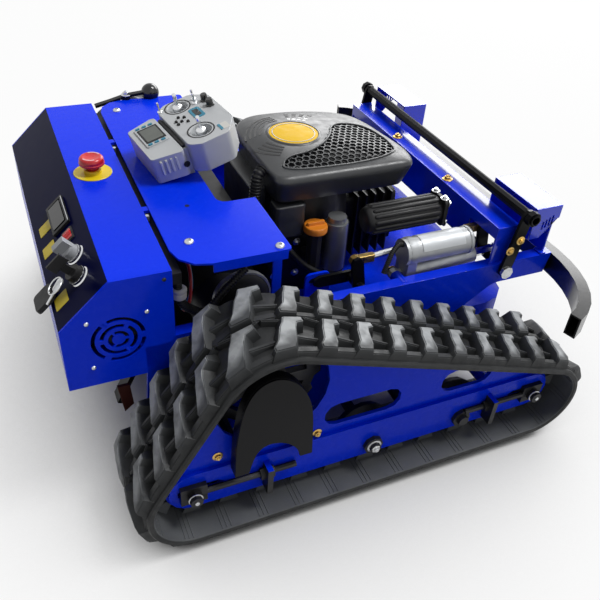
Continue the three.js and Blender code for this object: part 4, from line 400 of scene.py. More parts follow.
def shape(form, name, place=MACHINE):
    """Closes a form, made in millimetres, into a mesh in its place with its faces outward."""
    bmesh.ops.recalc_face_normals(form, faces=form.faces)
    mesh = bpy.data.meshes.new(name)
    form.to_mesh(mesh)
    form.free()
    mesh.transform(place)
    return mesh


def belt_line():
    """Points of the belt's middle line, once round the three wheels, from the rear wheel's first touch."""
    points = []
    count = len(WHEELS)

    def run_angle(first, second):
        dx, dz = second[0] - first[0], second[1] - first[1]
        length = math.hypot(dx, dz)
        sine = (first[2] - second[2]) / length
        cosine = math.sqrt(1 - sine * sine)
        return math.atan2((dz * sine - dx * cosine) / length, (dx * sine + dz * cosine) / length)

    for i, wheel in enumerate(WHEELS):
        start = run_angle(WHEELS[i - 1], wheel)
        sweep = (run_angle(wheel, WHEELS[(i + 1) % count]) - start) % (2 * math.pi)
        steps = max(4, round(math.degrees(sweep) / ARC_STEP))
        for k in range(steps + 1):
            angle = start + sweep * k / steps
            points.append((wheel[0] + wheel[2] * math.cos(angle), wheel[1] + wheel[2] * math.sin(angle)))
    return points


def skinned(form, rings):
    """Joins rings of as many points each with a band of four-sided faces from one to the next."""
    for near, far in zip(rings, rings[1:]):
        for k in range(len(near)):
            n = (k + 1) % len(near)
            form.faces.new((near[k], near[n], far[n], far[k]))


def prism(form, outline, low, high, top=None):
    """Adds a closed block to a form: an outline at one height and its top outline at another."""
    top = top or outline
    lower = [form.verts.new((x, y, low)) for x, y in outline]
    upper = [form.verts.new((p[0], p[1], p[2] if len(p) > 2 else high)) for p in top]
    form.faces.new(list(reversed(lower)))
    form.faces.new(upper)
    skinned(form, (lower, upper))


def shrunk(outline, inset):
    """An outline moved inwards by one distance along every edge."""
    moved = []
    count = len(outline)
    for k, point in enumerate(outline):
        here = Vector(point)
        before = (here - Vector(outline[k - 1])).normalized()
        after = (Vector(outline[(k + 1) % count]) - here).normalized()
        inward = Vector((-before.y - after.y, before.x + after.x)).normalized()
        spread = max(math.sqrt((1 + before.dot(after)) / 2), 0.5)
        moved.append(here + inward * inset / spread)
    return [(p.x, p.y) for p in moved]


def rectangle(x0, x1, y0, y1):
    """A rectangle's outline between two lengths and two widths."""
    return [(x0, y0), (x1, y0), (x1, y1), (x0, y1)]


LUG_LEAN, LUG_HALF, LUG_DRAFT = 0.40, 9.5, 6.5
CROWN_REAR, CROWN_FRONT = 15, 13
BELT_FACE = BELT_THICKNESS / 2
LUG_TOP = BELT_FACE + LUG_HEIGHT
ROOTED = BELT_FACE - 2
ROW_MARGIN, SHOULDER_START, SHOULDER_FALL = 8, 52, 0.35
BUTTRESS_MIDDLE, BUTTRESS_HALF, BUTTRESS_CREST = 36, 8, 3
BUTTRESS_LOW, BUTTRESS_HIGH, LEDGE_HEIGHT, LEDGE_DRAFT = 6, 15, 8, 4


def lug(form, inside, travel):
    """One lug: a crossbar at the row's inner end, a ridge running forward and outward, and a buttress."""

    def ridge(across):
        return travel + LUG_LEAN * across

    crown = [
        (travel - CROWN_REAR, 2.5), (travel + CROWN_FRONT - 4, 2.5), (travel + CROWN_FRONT, 13),
        (ridge(24) + LUG_HALF - 0.5, 22), (ridge(46) + LUG_HALF, 46), (ridge(56) + LUG_HALF + 4, 56),
        (ridge(60) + LUG_HALF + 2, 62), (ridge(60) - LUG_HALF - 2, 62), (ridge(50) - LUG_HALF - 2, 52),
        (ridge(24) - LUG_HALF, 24), (ridge(16) - LUG_HALF - 1, 15), (travel - CROWN_REAR, 11),
    ]
    crown = [(x, inside + y) for x, y in crown]
    foot = shrunk(crown, -LUG_DRAFT)
    row_end = inside + BELT_WIDTH / 2 - ROW_MARGIN
    foot[6] = (foot[6][0] + 3, row_end)
    foot[7] = (foot[7][0] + 1, row_end)
    top = [(x, y, LUG_TOP - max(0, y - inside - SHOULDER_START) * SHOULDER_FALL) for x, y in crown]
    prism(form, foot, ROOTED, LUG_TOP, top)
    middle = inside + BUTTRESS_MIDDLE
    head = ridge(BUTTRESS_MIDDLE)
    back = head - PITCH_LENGTH + LUG_HALF
    rib = rectangle(back, head, middle - BUTTRESS_HALF, middle + BUTTRESS_HALF)
    rise = [
        (x, y, BELT_FACE + (BUTTRESS_LOW if x == back else BUTTRESS_HIGH))
        for x, y in rectangle(back, head, middle - BUTTRESS_CREST, middle + BUTTRESS_CREST)
    ]
    prism(form, rib, ROOTED, BELT_FACE, rise)
    ledge = [(back - 6, 48), (head + 4, 48), (head + 12, 67), (back + 2, 67)]
    ledge = [(x, inside + y) for x, y in ledge]
    lip = [(x, y, BELT_FACE + LEDGE_HEIGHT) for x, y in shrunk(ledge, LEDGE_DRAFT)]
    prism(form, ledge, ROOTED, BELT_FACE, lip)


FIRST_LUG = 14
SEAM_HALF, SEAM_HEIGHT, SEAM_DRAFT = 5, 10, 2.8
WHEEL_HALF, COG_GAP, COG_WIDTH, COG_HEIGHT = 12, 2, 11, 20
COG_REAR, COG_FRONT, COG_SLOPE, COG_DRAFT = 14, 46, 7, 1.5
RIB_PLACES, RIB_WIDTH, RIB_MARGIN, RIB_HEIGHT, RIB_DRAFT = (4, 11, 18), 3, 4, 0.9, 0.7


def seam(form, travel):
    """Low zig-zag strip along the middle that joins the crossbars of the two rows."""
    middle = BELT_WIDTH / 2
    half = PITCH_LENGTH / 2
    for start, turn in ((travel + 4, 1), (travel + 4 + half, -1)):
        low, high = middle - SEAM_HALF * turn, middle + SEAM_HALF * turn
        strip = [
            (start, low - SEAM_HALF), (start + half, high - SEAM_HALF),
            (start + half, high + SEAM_HALF), (start, low + SEAM_HALF),
        ]
        crest = [(x, y, BELT_FACE + SEAM_HEIGHT) for x, y in shrunk(strip, SEAM_DRAFT)]
        prism(form, strip, ROOTED, BELT_FACE, crest)


def belt_link():
    """One link laid flat: x along the belt, y across it and z outwards, in metres."""
    form = bmesh.new()
    near_edge, far_edge, edge_face = BELT_EDGE, BELT_WIDTH - BELT_EDGE, BELT_FACE - BELT_EDGE
    section = [
        (0, -edge_face), (near_edge, -BELT_FACE), (far_edge, -BELT_FACE), (BELT_WIDTH, -edge_face),
        (BELT_WIDTH, edge_face), (far_edge, BELT_FACE), (near_edge, BELT_FACE), (0, edge_face),
    ]
    rings = []
    for k in range(BELT_STEPS + 1):
        rings.append([form.verts.new((k * PITCH_LENGTH / BELT_STEPS, y, z)) for y, z in section])
    skinned(form, rings)
    lug(form, 3, FIRST_LUG)
    lug(form, BELT_WIDTH / 2 + 3, FIRST_LUG + PITCH_LENGTH / 2)
    seam(form, FIRST_LUG)
    for y in (BELT_WIDTH / 2 - WHEEL_HALF - COG_GAP - COG_WIDTH, BELT_WIDTH / 2 + WHEEL_HALF + COG_GAP):
        foot = rectangle(COG_REAR, COG_FRONT, y, y + COG_WIDTH)
        crest = rectangle(COG_REAR + COG_SLOPE, COG_FRONT - COG_SLOPE,
                          y + COG_DRAFT, y + COG_WIDTH - COG_DRAFT)
        prism(form, foot, -BELT_FACE + 1, -BELT_FACE - COG_HEIGHT, crest)
    for x in RIB_PLACES:
        rib = rectangle(x, x + RIB_WIDTH, RIB_MARGIN, BELT_WIDTH - RIB_MARGIN)
        prism(form, rib, -BELT_FACE + 1, -BELT_FACE - RIB_HEIGHT, shrunk(rib, RIB_DRAFT))
    bmesh.ops.recalc_face_normals(form, faces=form.faces)
    crowns = [e for e in form.edges if all(v.co.z > BELT_FACE + 3 for v in e.verts)]
    bmesh.ops.bevel(form, geom=crowns, offset=1.3, segments=2, affect="EDGES", clamp_overlap=True)
    return shape(form, "belt_link", MM)


def node_group(name, sockets):
    """A Geometry Nodes tree with its named inputs, and those inputs as its own nodes see them."""
    tree = bpy.data.node_groups.new(name, "GeometryNodeTree")
    for label, kind in (("Geometry", "Geometry"), *sockets):
        tree.interface.new_socket(label, in_out="INPUT", socket_type="NodeSocket" + kind)
    tree.interface.new_socket("Geometry", in_out="OUTPUT", socket_type="NodeSocketGeometry")
    return tree, wired(tree, "NodeGroupInput")


def belt_tree(material):
    """Lays links in a row and bends the row round the belt line."""
    tree, given = node_group("Links Round Belt Line", [
        ("Belt Line", "Object"), ("Link", "Object"), ("Link Count", "Int"), ("Pitch", "Float"),
    ])
    line = wired(tree, "GeometryNodeObjectInfo", Object=given["Belt Line"])["Geometry"]
    flat_link = wired(tree, "GeometryNodeObjectInfo", Object=given["Link"])["Geometry"]
    step = wired(tree, "ShaderNodeCombineXYZ", X=given["Pitch"])
    row = wired(tree, "GeometryNodeMeshLine", Count=given["Link Count"], Offset=step[0])
    laid_out = wired(tree, "GeometryNodeInstanceOnPoints", Points=row[0], Instance=flat_link)
    loose = wired(tree, "GeometryNodeRealizeInstances", _0=laid_out[0])
    flat = wired(tree, "ShaderNodeSeparateXYZ", _0=wired(tree, "GeometryNodeInputPosition")[0])
    length = wired(tree, "GeometryNodeCurveLength", _0=line)
    along = wired(tree, "ShaderNodeMath", {"operation": "FLOORED_MODULO"}, _0=flat["X"], _1=length[0])
    spot = wired(tree, "GeometryNodeSampleCurve", {"mode": "LENGTH", "use_all_curves": True},
                 Curves=line, Length=along[0])
    out = wired(tree, "ShaderNodeVectorMath", {"operation": "CROSS_PRODUCT"},
                _0=(0, 1, 0), _1=spot["Tangent"])
    rise = wired(tree, "ShaderNodeVectorMath", {"operation": "SCALE"}, _0=out[0], Scale=flat["Z"])
    width = wired(tree, "ShaderNodeCombineXYZ", Y=flat["Y"])
    risen = wired(tree, "ShaderNodeVectorMath", _0=spot["Position"], _1=rise[0])
    in_place = wired(tree, "ShaderNodeVectorMath", _0=risen[0], _1=width[0])
    marked = wired(tree, "GeometryNodeStoreNamedAttribute", {"data_type": "FLOAT", "domain": "POINT"},
                   Geometry=loose[0], Name="height", Value=flat["Z"])
    bent = wired(tree, "GeometryNodeSetPosition", Geometry=marked[0], Position=in_place[0])
    welded = wired(tree, "GeometryNodeMergeByDistance", Geometry=bent[0], Distance=0.00005)
    turned_out = wired(tree, "GeometryNodeFlipFaces", _0=welded[0])
    coated = wired(tree, "GeometryNodeSetMaterial", Geometry=turned_out[0], Material=material)
    wired(tree, "NodeGroupOutput", _0=coated[0])
    return tree


def worked_out(carrier):
    """The plain mesh that an object's modifiers make of it."""
    bpy.context.view_layer.update()
    return bpy.data.meshes.new_from_object(carrier.evaluated_get(bpy.context.evaluated_depsgraph_get()))


def with_nodes(name, tree, values, points=None):
    """Runs a Geometry Nodes tree on a mesh, empty unless given, and returns its result as a plain mesh."""
    carrier = stood(name + "_carrier", points or bpy.data.meshes.new(name + "_carrier"))
    modifier = carrier.modifiers.new("nodes", "NODES")
    modifier.node_group = tree
    for item in tree.interface.items_tree:
        if item.item_type == "SOCKET" and item.in_out == "INPUT" and item.name in values:
            modifier[item.identifier] = values[item.name]
    made = worked_out(carrier)
    carrier.modifiers.clear()
    bpy.data.objects.remove(carrier)
    made.name = name
    return made


rubber = Finish("track_rubber", (0.009, 0.0098, 0.0105), 0.6)
rubber.feed("Specular IOR Level", 0.3)
lug_height = rubber.node("ShaderNodeAttribute", {"attribute_name": "height"}, output="Fac")
# The height bands below paint light and shade: low pockets dark, upper flanks and crowns pale, inner face
# lighter.
rise = rubber.band(lug_height, (BELT_FACE + 3) / 1000, (LUG_TOP - 1) / 1000)
crown_painted_light_and_scuff = rubber.band(lug_height, (LUG_TOP - 2) / 1000, (LUG_TOP - 0.2) / 1000)
patches = rubber.band(rubber.noise(45, 6), 0.3, 0.6)
dust = rubber.band(rubber.noise(12, 5), 0.4, 0.75)
inner_face = rubber.band(lug_height, -BELT_FACE / 1000 + 0.0012, -BELT_FACE / 1000 + 0.0002)
# Greys of painted light: upper flanks (with dust), inner face, and crowns (with scuffs).
PAINTED_LIGHT_AND_DUST_GREY, INNER_PAINTED_LIGHT_GREY, CROWN_PAINTED_LIGHT_AND_SCUFF_GREY = (0.062, 0.066, 0.07, 1), (0.12, 0.126, 0.131, 1), (0.38, 0.395, 0.405, 1)
flank = rubber.blend(rise * rise * 0.8 + dust * 0.12, rubber.color, PAINTED_LIGHT_AND_DUST_GREY)
flank = rubber.blend(inner_face * (dust * 0.4 + 0.6), flank, INNER_PAINTED_LIGHT_GREY)
rubber.feed("Base Color", rubber.blend(crown_painted_light_and_scuff * patches * 0.6 + crown_painted_light_and_scuff * 0.25, flank, CROWN_PAINTED_LIGHT_AND_SCUFF_GREY))
rubber.uneven(80, 4, 0.42, 0.68)
rubber.relief(rubber.noise(500, 3), 0.2, 0.0006)

belt_curve = bpy.data.curves.new("belt_line", "CURVE")
belt_curve.dimensions = "3D"
belt_points = belt_line()
spline = belt_curve.splines.new("POLY")
spline.points.add(len(belt_points) - 1)
spline.use_cyclic_u = True
for point, (x, z) in zip(spline.points, belt_points):
    point.co = (*(millimetres(x, 0, z)), 1)
belt_object = stood("belt_line", belt_curve)
link_object = stood("belt_link", belt_link())
belt_mesh = with_nodes(
    "rubber_track", belt_tree(rubber.material),
    {"Belt Line": belt_object, "Link": link_object, "Link Count": LINKS, "Pitch": PITCH_LENGTH / 1000},
)
belt_mesh.transform(Matrix.Translation((0, BELT_INSIDE / 1000, 0)))


def other_side(mesh):
    """A copy on the machine's other side, with its faces still outward."""
    made = mesh.copy()
    made.transform(Matrix.Scale(-1, 4, Vector((0, 1, 0))))
    made.flip_normals()
    return made


for mesh, name in ((belt_mesh, "left"), (other_side(belt_mesh), "right")):
    track = finished(f"rubber_track_{name}_finished", mesh, rubber.material, "chassis", 35)
    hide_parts(f"rubber_track_{name}")
for stand in (belt_object, link_object):
    bpy.data.objects.remove(stand)


# Idlers, road wheels, sprockets and track frames: the wheels are turned from dark cast iron and run in
# blue welded frames. Zinc-plated hexagon bolts, nuts and washers hold each frame, and long screws at
# its ends tension the belt.


def lathe(form, profile, centre=(0, 0, 0), axis=(0, 0, 1), sides=64):
    """Adds a turned shape to a form: (radius, distance) pairs from a centre along an axis, in mm."""
    turn = Vector(axis).normalized().to_track_quat("Z", "Y").to_matrix()
    rings = []
    for radius, distance in profile:
        if radius < 0.001:
            rings.append([form.verts.new(Vector(centre) + turn @ Vector((0, 0, distance)))])
            continue
        ring = []
        for k in range(sides):
            angle = 2 * math.pi * k / sides
            reach = Vector((radius * math.cos(angle), radius * math.sin(angle), distance))
            ring.append(form.verts.new(Vector(centre) + turn @ reach))
        rings.append(ring)
    for near, far in zip(rings, rings[1:]):
        for k in range(sides):
            n = (k + 1) % sides
            corners = [near[k % len(near)], near[n % len(near)], far[n % len(far)], far[k % len(far)]]
            seen = list(dict.fromkeys(corners))
            if len(seen) > 2:
                form.faces.new(seen)


def metal(name, color, shade, roughness, grain=120, wear=0.05, metallic=1.0):
    """A metal with a cloudy tone, fine scratches and uneven gloss."""
    finish = Finish(name, color, roughness, metallic)
    finish.clouded(grain / 4, 4, shade)
    finish.uneven(grain, 5, roughness - 0.08, roughness + 0.12)
    finish.relief(finish.noise(grain * 6, 3), wear, 0.0003)
    return finish.material


steel = metal("zinc_plated_steel", (0.62, 0.63, 0.64), (0.45, 0.46, 0.47), 0.3)
dark_steel = metal("burnished_iron", (0.045, 0.045, 0.048), (0.02, 0.02, 0.022), 0.42, 60, 0.15, 0.8)
brass = metal("yellow_zinc", (0.72, 0.50, 0.17), (0.50, 0.33, 0.10), 0.32)


def plastic(name, color, shade, roughness, bumps=0.08, grain=300, gloss=0.5):
    """A moulded plastic with a faint grain and uneven sheen."""
    finish = Finish(name, color, roughness)
    finish.feed("Specular IOR Level", gloss)
    finish.clouded(22, 4, shade)
    finish.uneven(70, 4, roughness - 0.06, roughness + 0.1)
    finish.relief(finish.noise(grain, 2), bumps, 0.0003)
    return finish.material


black_plastic = plastic("black_plastic", (0.009, 0.009, 0.010), (0.014, 0.014, 0.015), 0.42, gloss=0.18)

FRAME_FACE, RAIL_FACE = 392, 398
BLOCK_INSIDE, BLOCK_TOP, EARS, EAR_HALF, SCREW_HALF, BLOCK_HALF = 272.5, 110, (182, 590), 5.2, 11, 36


def on_tension_gear(middle, normal):
    """True on the axles, slide blocks, nuts and tension screws, which aren't painted."""
    x, y, z = middle.x * 1000 + SETBACK, abs(middle.y) * 1000, middle.z * 1000
    if y < FRAME_FACE - 8:
        return y > BLOCK_INSIDE and z < BLOCK_TOP
    if y < RAIL_FACE + 0.4:
        return False
    off_axle = abs(z - AXLE_HEIGHT)
    on_ear = BLOCK_TOP + 2 < z or min(abs(x - ear) for ear in EARS) < EAR_HALF and off_axle > SCREW_HALF
    return not on_ear and not (abs(normal.y) < 0.1 and off_axle > BLOCK_HALF)


for side in ("left", "right"):
    for place in ("front_idler", "rear_idler", "front_road_wheel", "rear_road_wheel"):
        dressed(f"{place}_{side}", dark_steel, 0.0012, 40)
    dressed(f"drive_sprocket_{side}", dark_steel, 0.001, 40)
    dressed(f"gear_motor_{side}", black_plastic, 0.001, 40)
    dressed(f"track_frame_{side}", blue_paint, SHEET_EDGE, 30, [(dark_steel, on_tension_gear)])


def hex_head():
    """A bolt head on its washer, of unit size: its corners are 1 mm from the middle."""
    form = bmesh.new()
    lathe(form, [(0, 0), (1.55, 0), (1.6, 0.05), (1.6, 0.2), (1.5, 0.26), (0, 0.26)], sides=28)
    lathe(form, [(0, 0.26), (1.0, 0.26), (1.0, 0.92), (0.86, 1.02), (0, 1.02)], sides=6)
    lathe(form, [(0, 0.9), (0.5, 0.9), (0.5, 1.3), (0.42, 1.38), (0, 1.38)], sides=16)
    return shape(form, "hex_head", MM)


def fastener_tree():
    """Sets one head at every point, turned to the point's facing and scaled by its size."""
    tree, given = node_group("Heads At Points", [
        ("Head", "Object"), ("Finish", "Material"), ("Seed", "Int"), ("Spin", "Float"),
    ])
    head = wired(tree, "GeometryNodeObjectInfo", Object=given["Head"])
    facing = wired(tree, "GeometryNodeInputNamedAttribute", {"data_type": "FLOAT_VECTOR"}, Name="facing")
    size = wired(tree, "GeometryNodeInputNamedAttribute", {"data_type": "FLOAT"}, Name="size")
    turn = wired(tree, "FunctionNodeAlignRotationToVector", {"axis": "Z"}, Vector=facing["Attribute"])
    spin = wired(tree, "FunctionNodeRandomValue", _3=given["Spin"], Seed=given["Seed"])
    own = wired(tree, "ShaderNodeCombineXYZ", Z=spin[1])
    spun = wired(tree, "FunctionNodeRotateRotation", {"rotation_space": "LOCAL"},
                 Rotation=turn[0], Rotate_By=own[0])
    set_down = wired(tree, "GeometryNodeInstanceOnPoints", Points=given["Geometry"],
                     Instance=head["Geometry"], Rotation=spun[0], Scale=size["Attribute"])
    loose = wired(tree, "GeometryNodeRealizeInstances", _0=set_down[0])
    coated = wired(tree, "GeometryNodeSetMaterial", Geometry=loose[0], Material=given["Finish"])
    wired(tree, "NodeGroupOutput", _0=coated[0])
    return tree


HEAD_SEED = 3
heads_tree = fastener_tree()


def fasteners(name, body, material, head, spots, spin=math.pi):
    """Heads of one kind on one body: each spot is a place, the way it faces and its radius in mm."""
    points = bpy.data.meshes.new(name + "_points")
    points.from_pydata([spot[0] for spot in spots], [], [])
    points.attributes.new("facing", "FLOAT_VECTOR", "POINT")
    points.attributes.new("size", "FLOAT", "POINT")
    for k, (_, way, radius) in enumerate(spots):
        points.attributes["facing"].data[k].vector = Vector(way).normalized()
        points.attributes["size"].data[k].value = radius
    stand = stood(name + "_head", head.copy())
    values = {"Head": stand, "Finish": material, "Seed": HEAD_SEED, "Spin": spin}
    mesh = with_nodes(name, heads_tree, values, points)
    bpy.data.objects.remove(stand)
    return finished(name, mesh, material, body, 35)


SIDES = ((1, "left"), (-1, "right"))
HEX = hex_head()
for side, name in SIDES:
    out = (0, side, 0)
    bolts = [(millimetres(x, side * FRAME_FACE, z), out, 5) for x, z in ((108, 150), (186, 158), (267, 138))]
    fasteners(f"frame_bolts_{name}", "chassis", brass, HEX, bolts)
    nuts = [(millimetres(368, side * (RAIL_FACE + 7), 80), out, 8)]
    nuts += [(millimetres(x, side * (RAIL_FACE + 14.5), 94), out, 7) for x in AXLES]
    fasteners(f"axle_nuts_{name}", "chassis", steel, HEX, nuts)


# Sprocket guards: black bent-steel covers over the drive sprockets, open below round the hub. Each is
# one rounded plate with its wall folded back to the track frame.

GUARD_EDGE = [
    (126, 124), (127, 187), (133, 238), (142, 272), (157, 295), (180, 304), (203, 296), (222, 276),
    (236, 248), (243, 216), (246, 170), (248, 129),
]
GUARD_ARCH = [
    (228, 129), (225, 142), (218, 155), (204, 168), (188, 175), (173, 176), (160, 166), (153, 148),
    (148, 124),
]
GUARD_FOOT, GUARD_DEPTH, GUARD_WALL = 398.3, 20, 4
GUARD_MIDDLE, FOLD_IN, FOLD_DOWN = (187, 215), 0.065, 0.045


def softened(points, closed=True, rounds=2):
    """An outline with its corners cut, and cut again, until it runs smoothly; open ends stay."""
    for _ in range(rounds):
        pairs = list(zip(points, points[1:] + points[:1] if closed else points[1:]))
        cut = [] if closed else [points[0]]
        for (x0, y0), (x1, y1) in pairs:
            for share in (0.25, 0.75):
                cut.append((x0 * (1 - share) + x1 * share, y0 * (1 - share) + y1 * share))
        points = cut if closed else cut + [points[-1]]
    return points


UPRIGHT = Matrix.Rotation(math.pi / 2, 4, "X")
guard_edge = softened(GUARD_EDGE, False)
guard_arch = softened(GUARD_ARCH, False)
guard_inner = [
    (x + (GUARD_MIDDLE[0] - x) * FOLD_IN, z + (z > 130) * (GUARD_MIDDLE[1] - z) * FOLD_DOWN)
    for x, z in guard_edge
]
form = bmesh.new()
prism(form, guard_edge + guard_arch, GUARD_FOOT + GUARD_DEPTH - GUARD_WALL, GUARD_FOOT + GUARD_DEPTH)
prism(form, guard_edge + guard_inner[::-1], GUARD_FOOT, GUARD_FOOT + GUARD_DEPTH - GUARD_WALL)
guard_mesh = shape(form, "guard", MACHINE @ UPRIGHT)
for mesh, name in ((other_side(guard_mesh), "left"), (guard_mesh, "right")):
    guard = finished(f"sprocket_guard_{name}_finished", mesh, black_paint, "chassis",
                     30, 0.0012)
    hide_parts(f"sprocket_guard_{name}")


# Control box hardware: pan-head screws hold the fan and the cover, and small rivets close the folded
# corners. The cooling fan's black rotor and motor sit behind the ring-shaped slots.

BOX_FACE = 284


def dome_head():
    """A button head with a hexagon socket, of unit radius."""
    form = bmesh.new()
    curve = [(0.46, 0.36), (0.46, 0.6), (0.62, 0.57), (0.8, 0.46), (0.94, 0.28), (1.0, 0.08), (1.0, 0)]
    lathe(form, [(0, 0.36)] + curve + [(0, 0)], sides=24)
    return shape(form, "dome_head", MM)


DOME = dome_head()
fasteners("fan_screws", "chassis", steel, DOME, [
    (millimetres(x, -BOX_FACE, z), (0, -1, 0), 3.4) for x, z in ((-34, 351), (46, 352), (-33, 273))
])
fasteners("corner_rivets", "chassis", dark_steel, DOME, [
    (millimetres(x, side * BOX_FACE, z), (0, side, 0), 3)
    for side in (1, -1) for x, z in ((72, 399), (76, 262))
])
for node in ("fan_rotor", "fan_motor"):
    dressed(node, black_plastic, 0.0006)


# Fan vent: three rings of curved slots, cut by laser through the right-hand cover's blue sheet. The
# webs between them are left standing, and the fan behind draws its air through.


def arc_strip(inner, outer, start, end, steps=14):
    """Outline of a curved strip between two radii and two angles in degrees."""
    angles = [math.radians(start + (end - start) * k / steps) for k in range(steps + 1)]
    far = [(outer * math.cos(a), outer * math.sin(a)) for a in angles]
    return far + [(inner * math.cos(a), inner * math.sin(a)) for a in reversed(angles)]


def carved(mesh, plug, cutters):
    """The mesh with a plug welded in and cutters' shapes taken out of it."""
    stands = [stood(*pair) for pair in (("carving", mesh), ("plug", plug), ("cutter", cutters))]
    for operation, other in (("UNION", stands[1]), ("DIFFERENCE", stands[2])):
        step = stands[0].modifiers.new(operation, "BOOLEAN")
        step.operation = operation
        step.object = other
        step.solver = "EXACT"
    made = worked_out(stands[0])
    for stand in stands:
        bpy.data.objects.remove(stand)
    return made


VENT_AT = MACHINE @ Matrix.Translation((5, -BOX_FACE, 314)) @ UPRIGHT
VENT_SHEET, VENT_RADIUS, SLOT_WIDTH, SLOT_SWEEP = 3, 41, 5.5, 104
plug = bmesh.new()
lathe(plug, [(0, 0), (VENT_RADIUS, 0), (VENT_RADIUS, -VENT_SHEET), (0, -VENT_SHEET)], sides=72)
rings = bmesh.new()
for inner, turn in ((9, 0), (20.5, 60), (32, 0)):
    for k in range(3):
        start = turn + 120 * k + 8
        prism(rings, arc_strip(inner, inner + SLOT_WIDTH, start, start + SLOT_SWEEP), -VENT_SHEET - 1, 1)
plug, rings = shape(plug, "plug", VENT_AT), shape(rings, "rings", VENT_AT)
cover = carved(merged_copy("control_box_cover_right"), plug, rings)
cover.materials.clear()
cover_right = finished("control_box_cover_right_finished", cover, blue_paint, "chassis", 30)
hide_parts("control_box_cover_right")


# Rear panel: its folded sheet carries a voltage display, a red rocker switch, a grey selector and the
# ignition key, each with its own collar, and three plain yellow plates below them.

PANEL_UP, PANEL_OUT = Vector((0.7276, 0, 0.686)), Vector((-0.686, 0, 0.7276))


def on_panel(up, y):
    """A place on the sloping panel: x runs up the slope, y to the left and z out of it."""
    turn = Matrix((PANEL_UP, Vector((0, 1, 0)), PANEL_OUT)).transposed().to_4x4()
    origin = Vector((-70, 0, 345)) + PANEL_UP * up + Vector((0, y, 0))
    return MACHINE @ Matrix.Translation(origin) @ turn


def rounded(x0, x1, y0, y1, radius, steps=5):
    """A rectangle's outline with round corners."""
    points = []
    for x, y, start in (
        (x1 - radius, y0 + radius, -90), (x1 - radius, y1 - radius, 0), (x0 + radius, y1 - radius, 90),
        (x0 + radius, y0 + radius, 180),
    ):
        for k in range(steps + 1):
            angle = math.radians(start + 90 * k / steps)
            points.append((x + radius * math.cos(angle), y + radius * math.sin(angle)))
    return points


def blocks(name, body, material, place, solids, bevel=0.0004, angle=35):
    """A piece made of straight blocks: each an outline, a low and a high level, and a top if it tapers."""
    form = bmesh.new()
    for solid in solids:
        prism(form, *solid)
    return finished(name, shape(form, name, place), material, body, angle, bevel)


def turned(name, body, material, place, profiles, sides=64):
    """A piece made of turned shapes: each a profile, with its centre and axis where they're its own."""
    form = bmesh.new()
    for profile, *stand in profiles:
        lathe(form, profile, *stand, sides=sides)
    return finished(name, shape(form, name, place), material, body, 40)


red_plastic = plastic("red_plastic", (0.62, 0.012, 0.016), (0.5, 0.008, 0.012), 0.25)
grey_plastic = plastic("grey_plastic", (0.30, 0.31, 0.33), (0.24, 0.25, 0.27), 0.4)
chrome = metal("polished_chrome", (0.72, 0.73, 0.75), (0.58, 0.59, 0.6), 0.14, 60, 0.02)


def screen_glass(name, color, glow):
    """Dark glass over a blank screen."""
    finish = Finish(name, color, 0.08)
    finish.feed("Specular IOR Level", 0.4)
    finish.clouded(60, 3, glow)
    return finish.material


dark_glass = screen_glass("dark_glass", (0.006, 0.007, 0.008), (0.012, 0.013, 0.014))
dressed("voltage_display", black_plastic)
blocks("display_screen", "chassis", dark_glass, on_panel(55, -58),
       [(rounded(-13, 11, -30, 30, 2), 4.6, 5.4)], 0.0002)
blocks("display_rim", "chassis", steel, on_panel(55, -58),
       [(rounded(16, 17.2, -38, 34, 0.4), 4.4, 5.4)], 0)

PANEL_BEZEL = rounded(-10.5, 10.5, -15, 15, 2)
blocks("rocker_bezel", "chassis", black_plastic, on_panel(60, -122),
       [(PANEL_BEZEL, 0, 2.2, shrunk(PANEL_BEZEL, 0.6))], 0)
dressed("rocker_switch", red_plastic, 0.001)

label_sheet = plastic("yellow_label", (0.66, 0.52, 0.03), (0.55, 0.42, 0.02), 0.5)
for name, up, y in (("display", 24, -52), ("rocker", 21, -108), ("key", 19, -232)):
    blocks(f"plain_plate_{name}", "chassis", label_sheet, on_panel(up, y),
           [(rounded(-12, 12, -13, 13, 1.5), 0, 0.6)], 0)

COLLAR = [(0, 0), (15.5, 0), (15.5, 3), (14, 4.5), (14, 8), (12.5, 9), (0, 9)]
for name, up, y in (("selector", 64, -180), ("key", 60, -228)):
    turned(f"{name}_collar", "chassis", chrome, on_panel(up, y), [(COLLAR,)])
dressed("selector_knob", grey_plastic, 0.0012)
dressed("ignition_key", black_plastic, 0.001)


# Key ring: a steel wire ring through the bow of the ignition key. A moulded black fob and one spare
# steel key hang from it against the panel.

RING_RADIUS, RING_WIRE, RING_LIFT = 13, 0.9, 16
wire = [
    (RING_RADIUS + math.cos(a) * RING_WIRE, math.sin(a) * RING_WIRE + RING_LIFT)
    for a in [k * math.pi / 4 for k in range(9)]
]
turned("key_ring", "key", steel, on_panel(28, -222), [(wire,)], 40)
FOB = rounded(-21, 15, -19, 19, 8)
blocks("key_fob", "key", black_plastic, on_panel(-1, -205),
       [(FOB, 2, 9, shrunk(FOB, 1.5))], 0.0012)
SPARE_KEY = rounded(-14, 6, -8, 8, 5)
SPARE_BLADE = rounded(-34, -12, -2.5, 2.5, 1)
blocks("spare_key", "key", steel, on_panel(33, -216) @ Matrix.Rotation(0.5, 4, "Z"),
       [(SPARE_KEY, 10.5, 12.2), (SPARE_BLADE, 10.6, 12.1)], 0.0002)


# Emergency stop: a red mushroom button with a release groove, on a round yellow plate over the box's
# top. The button presses down on its neck.

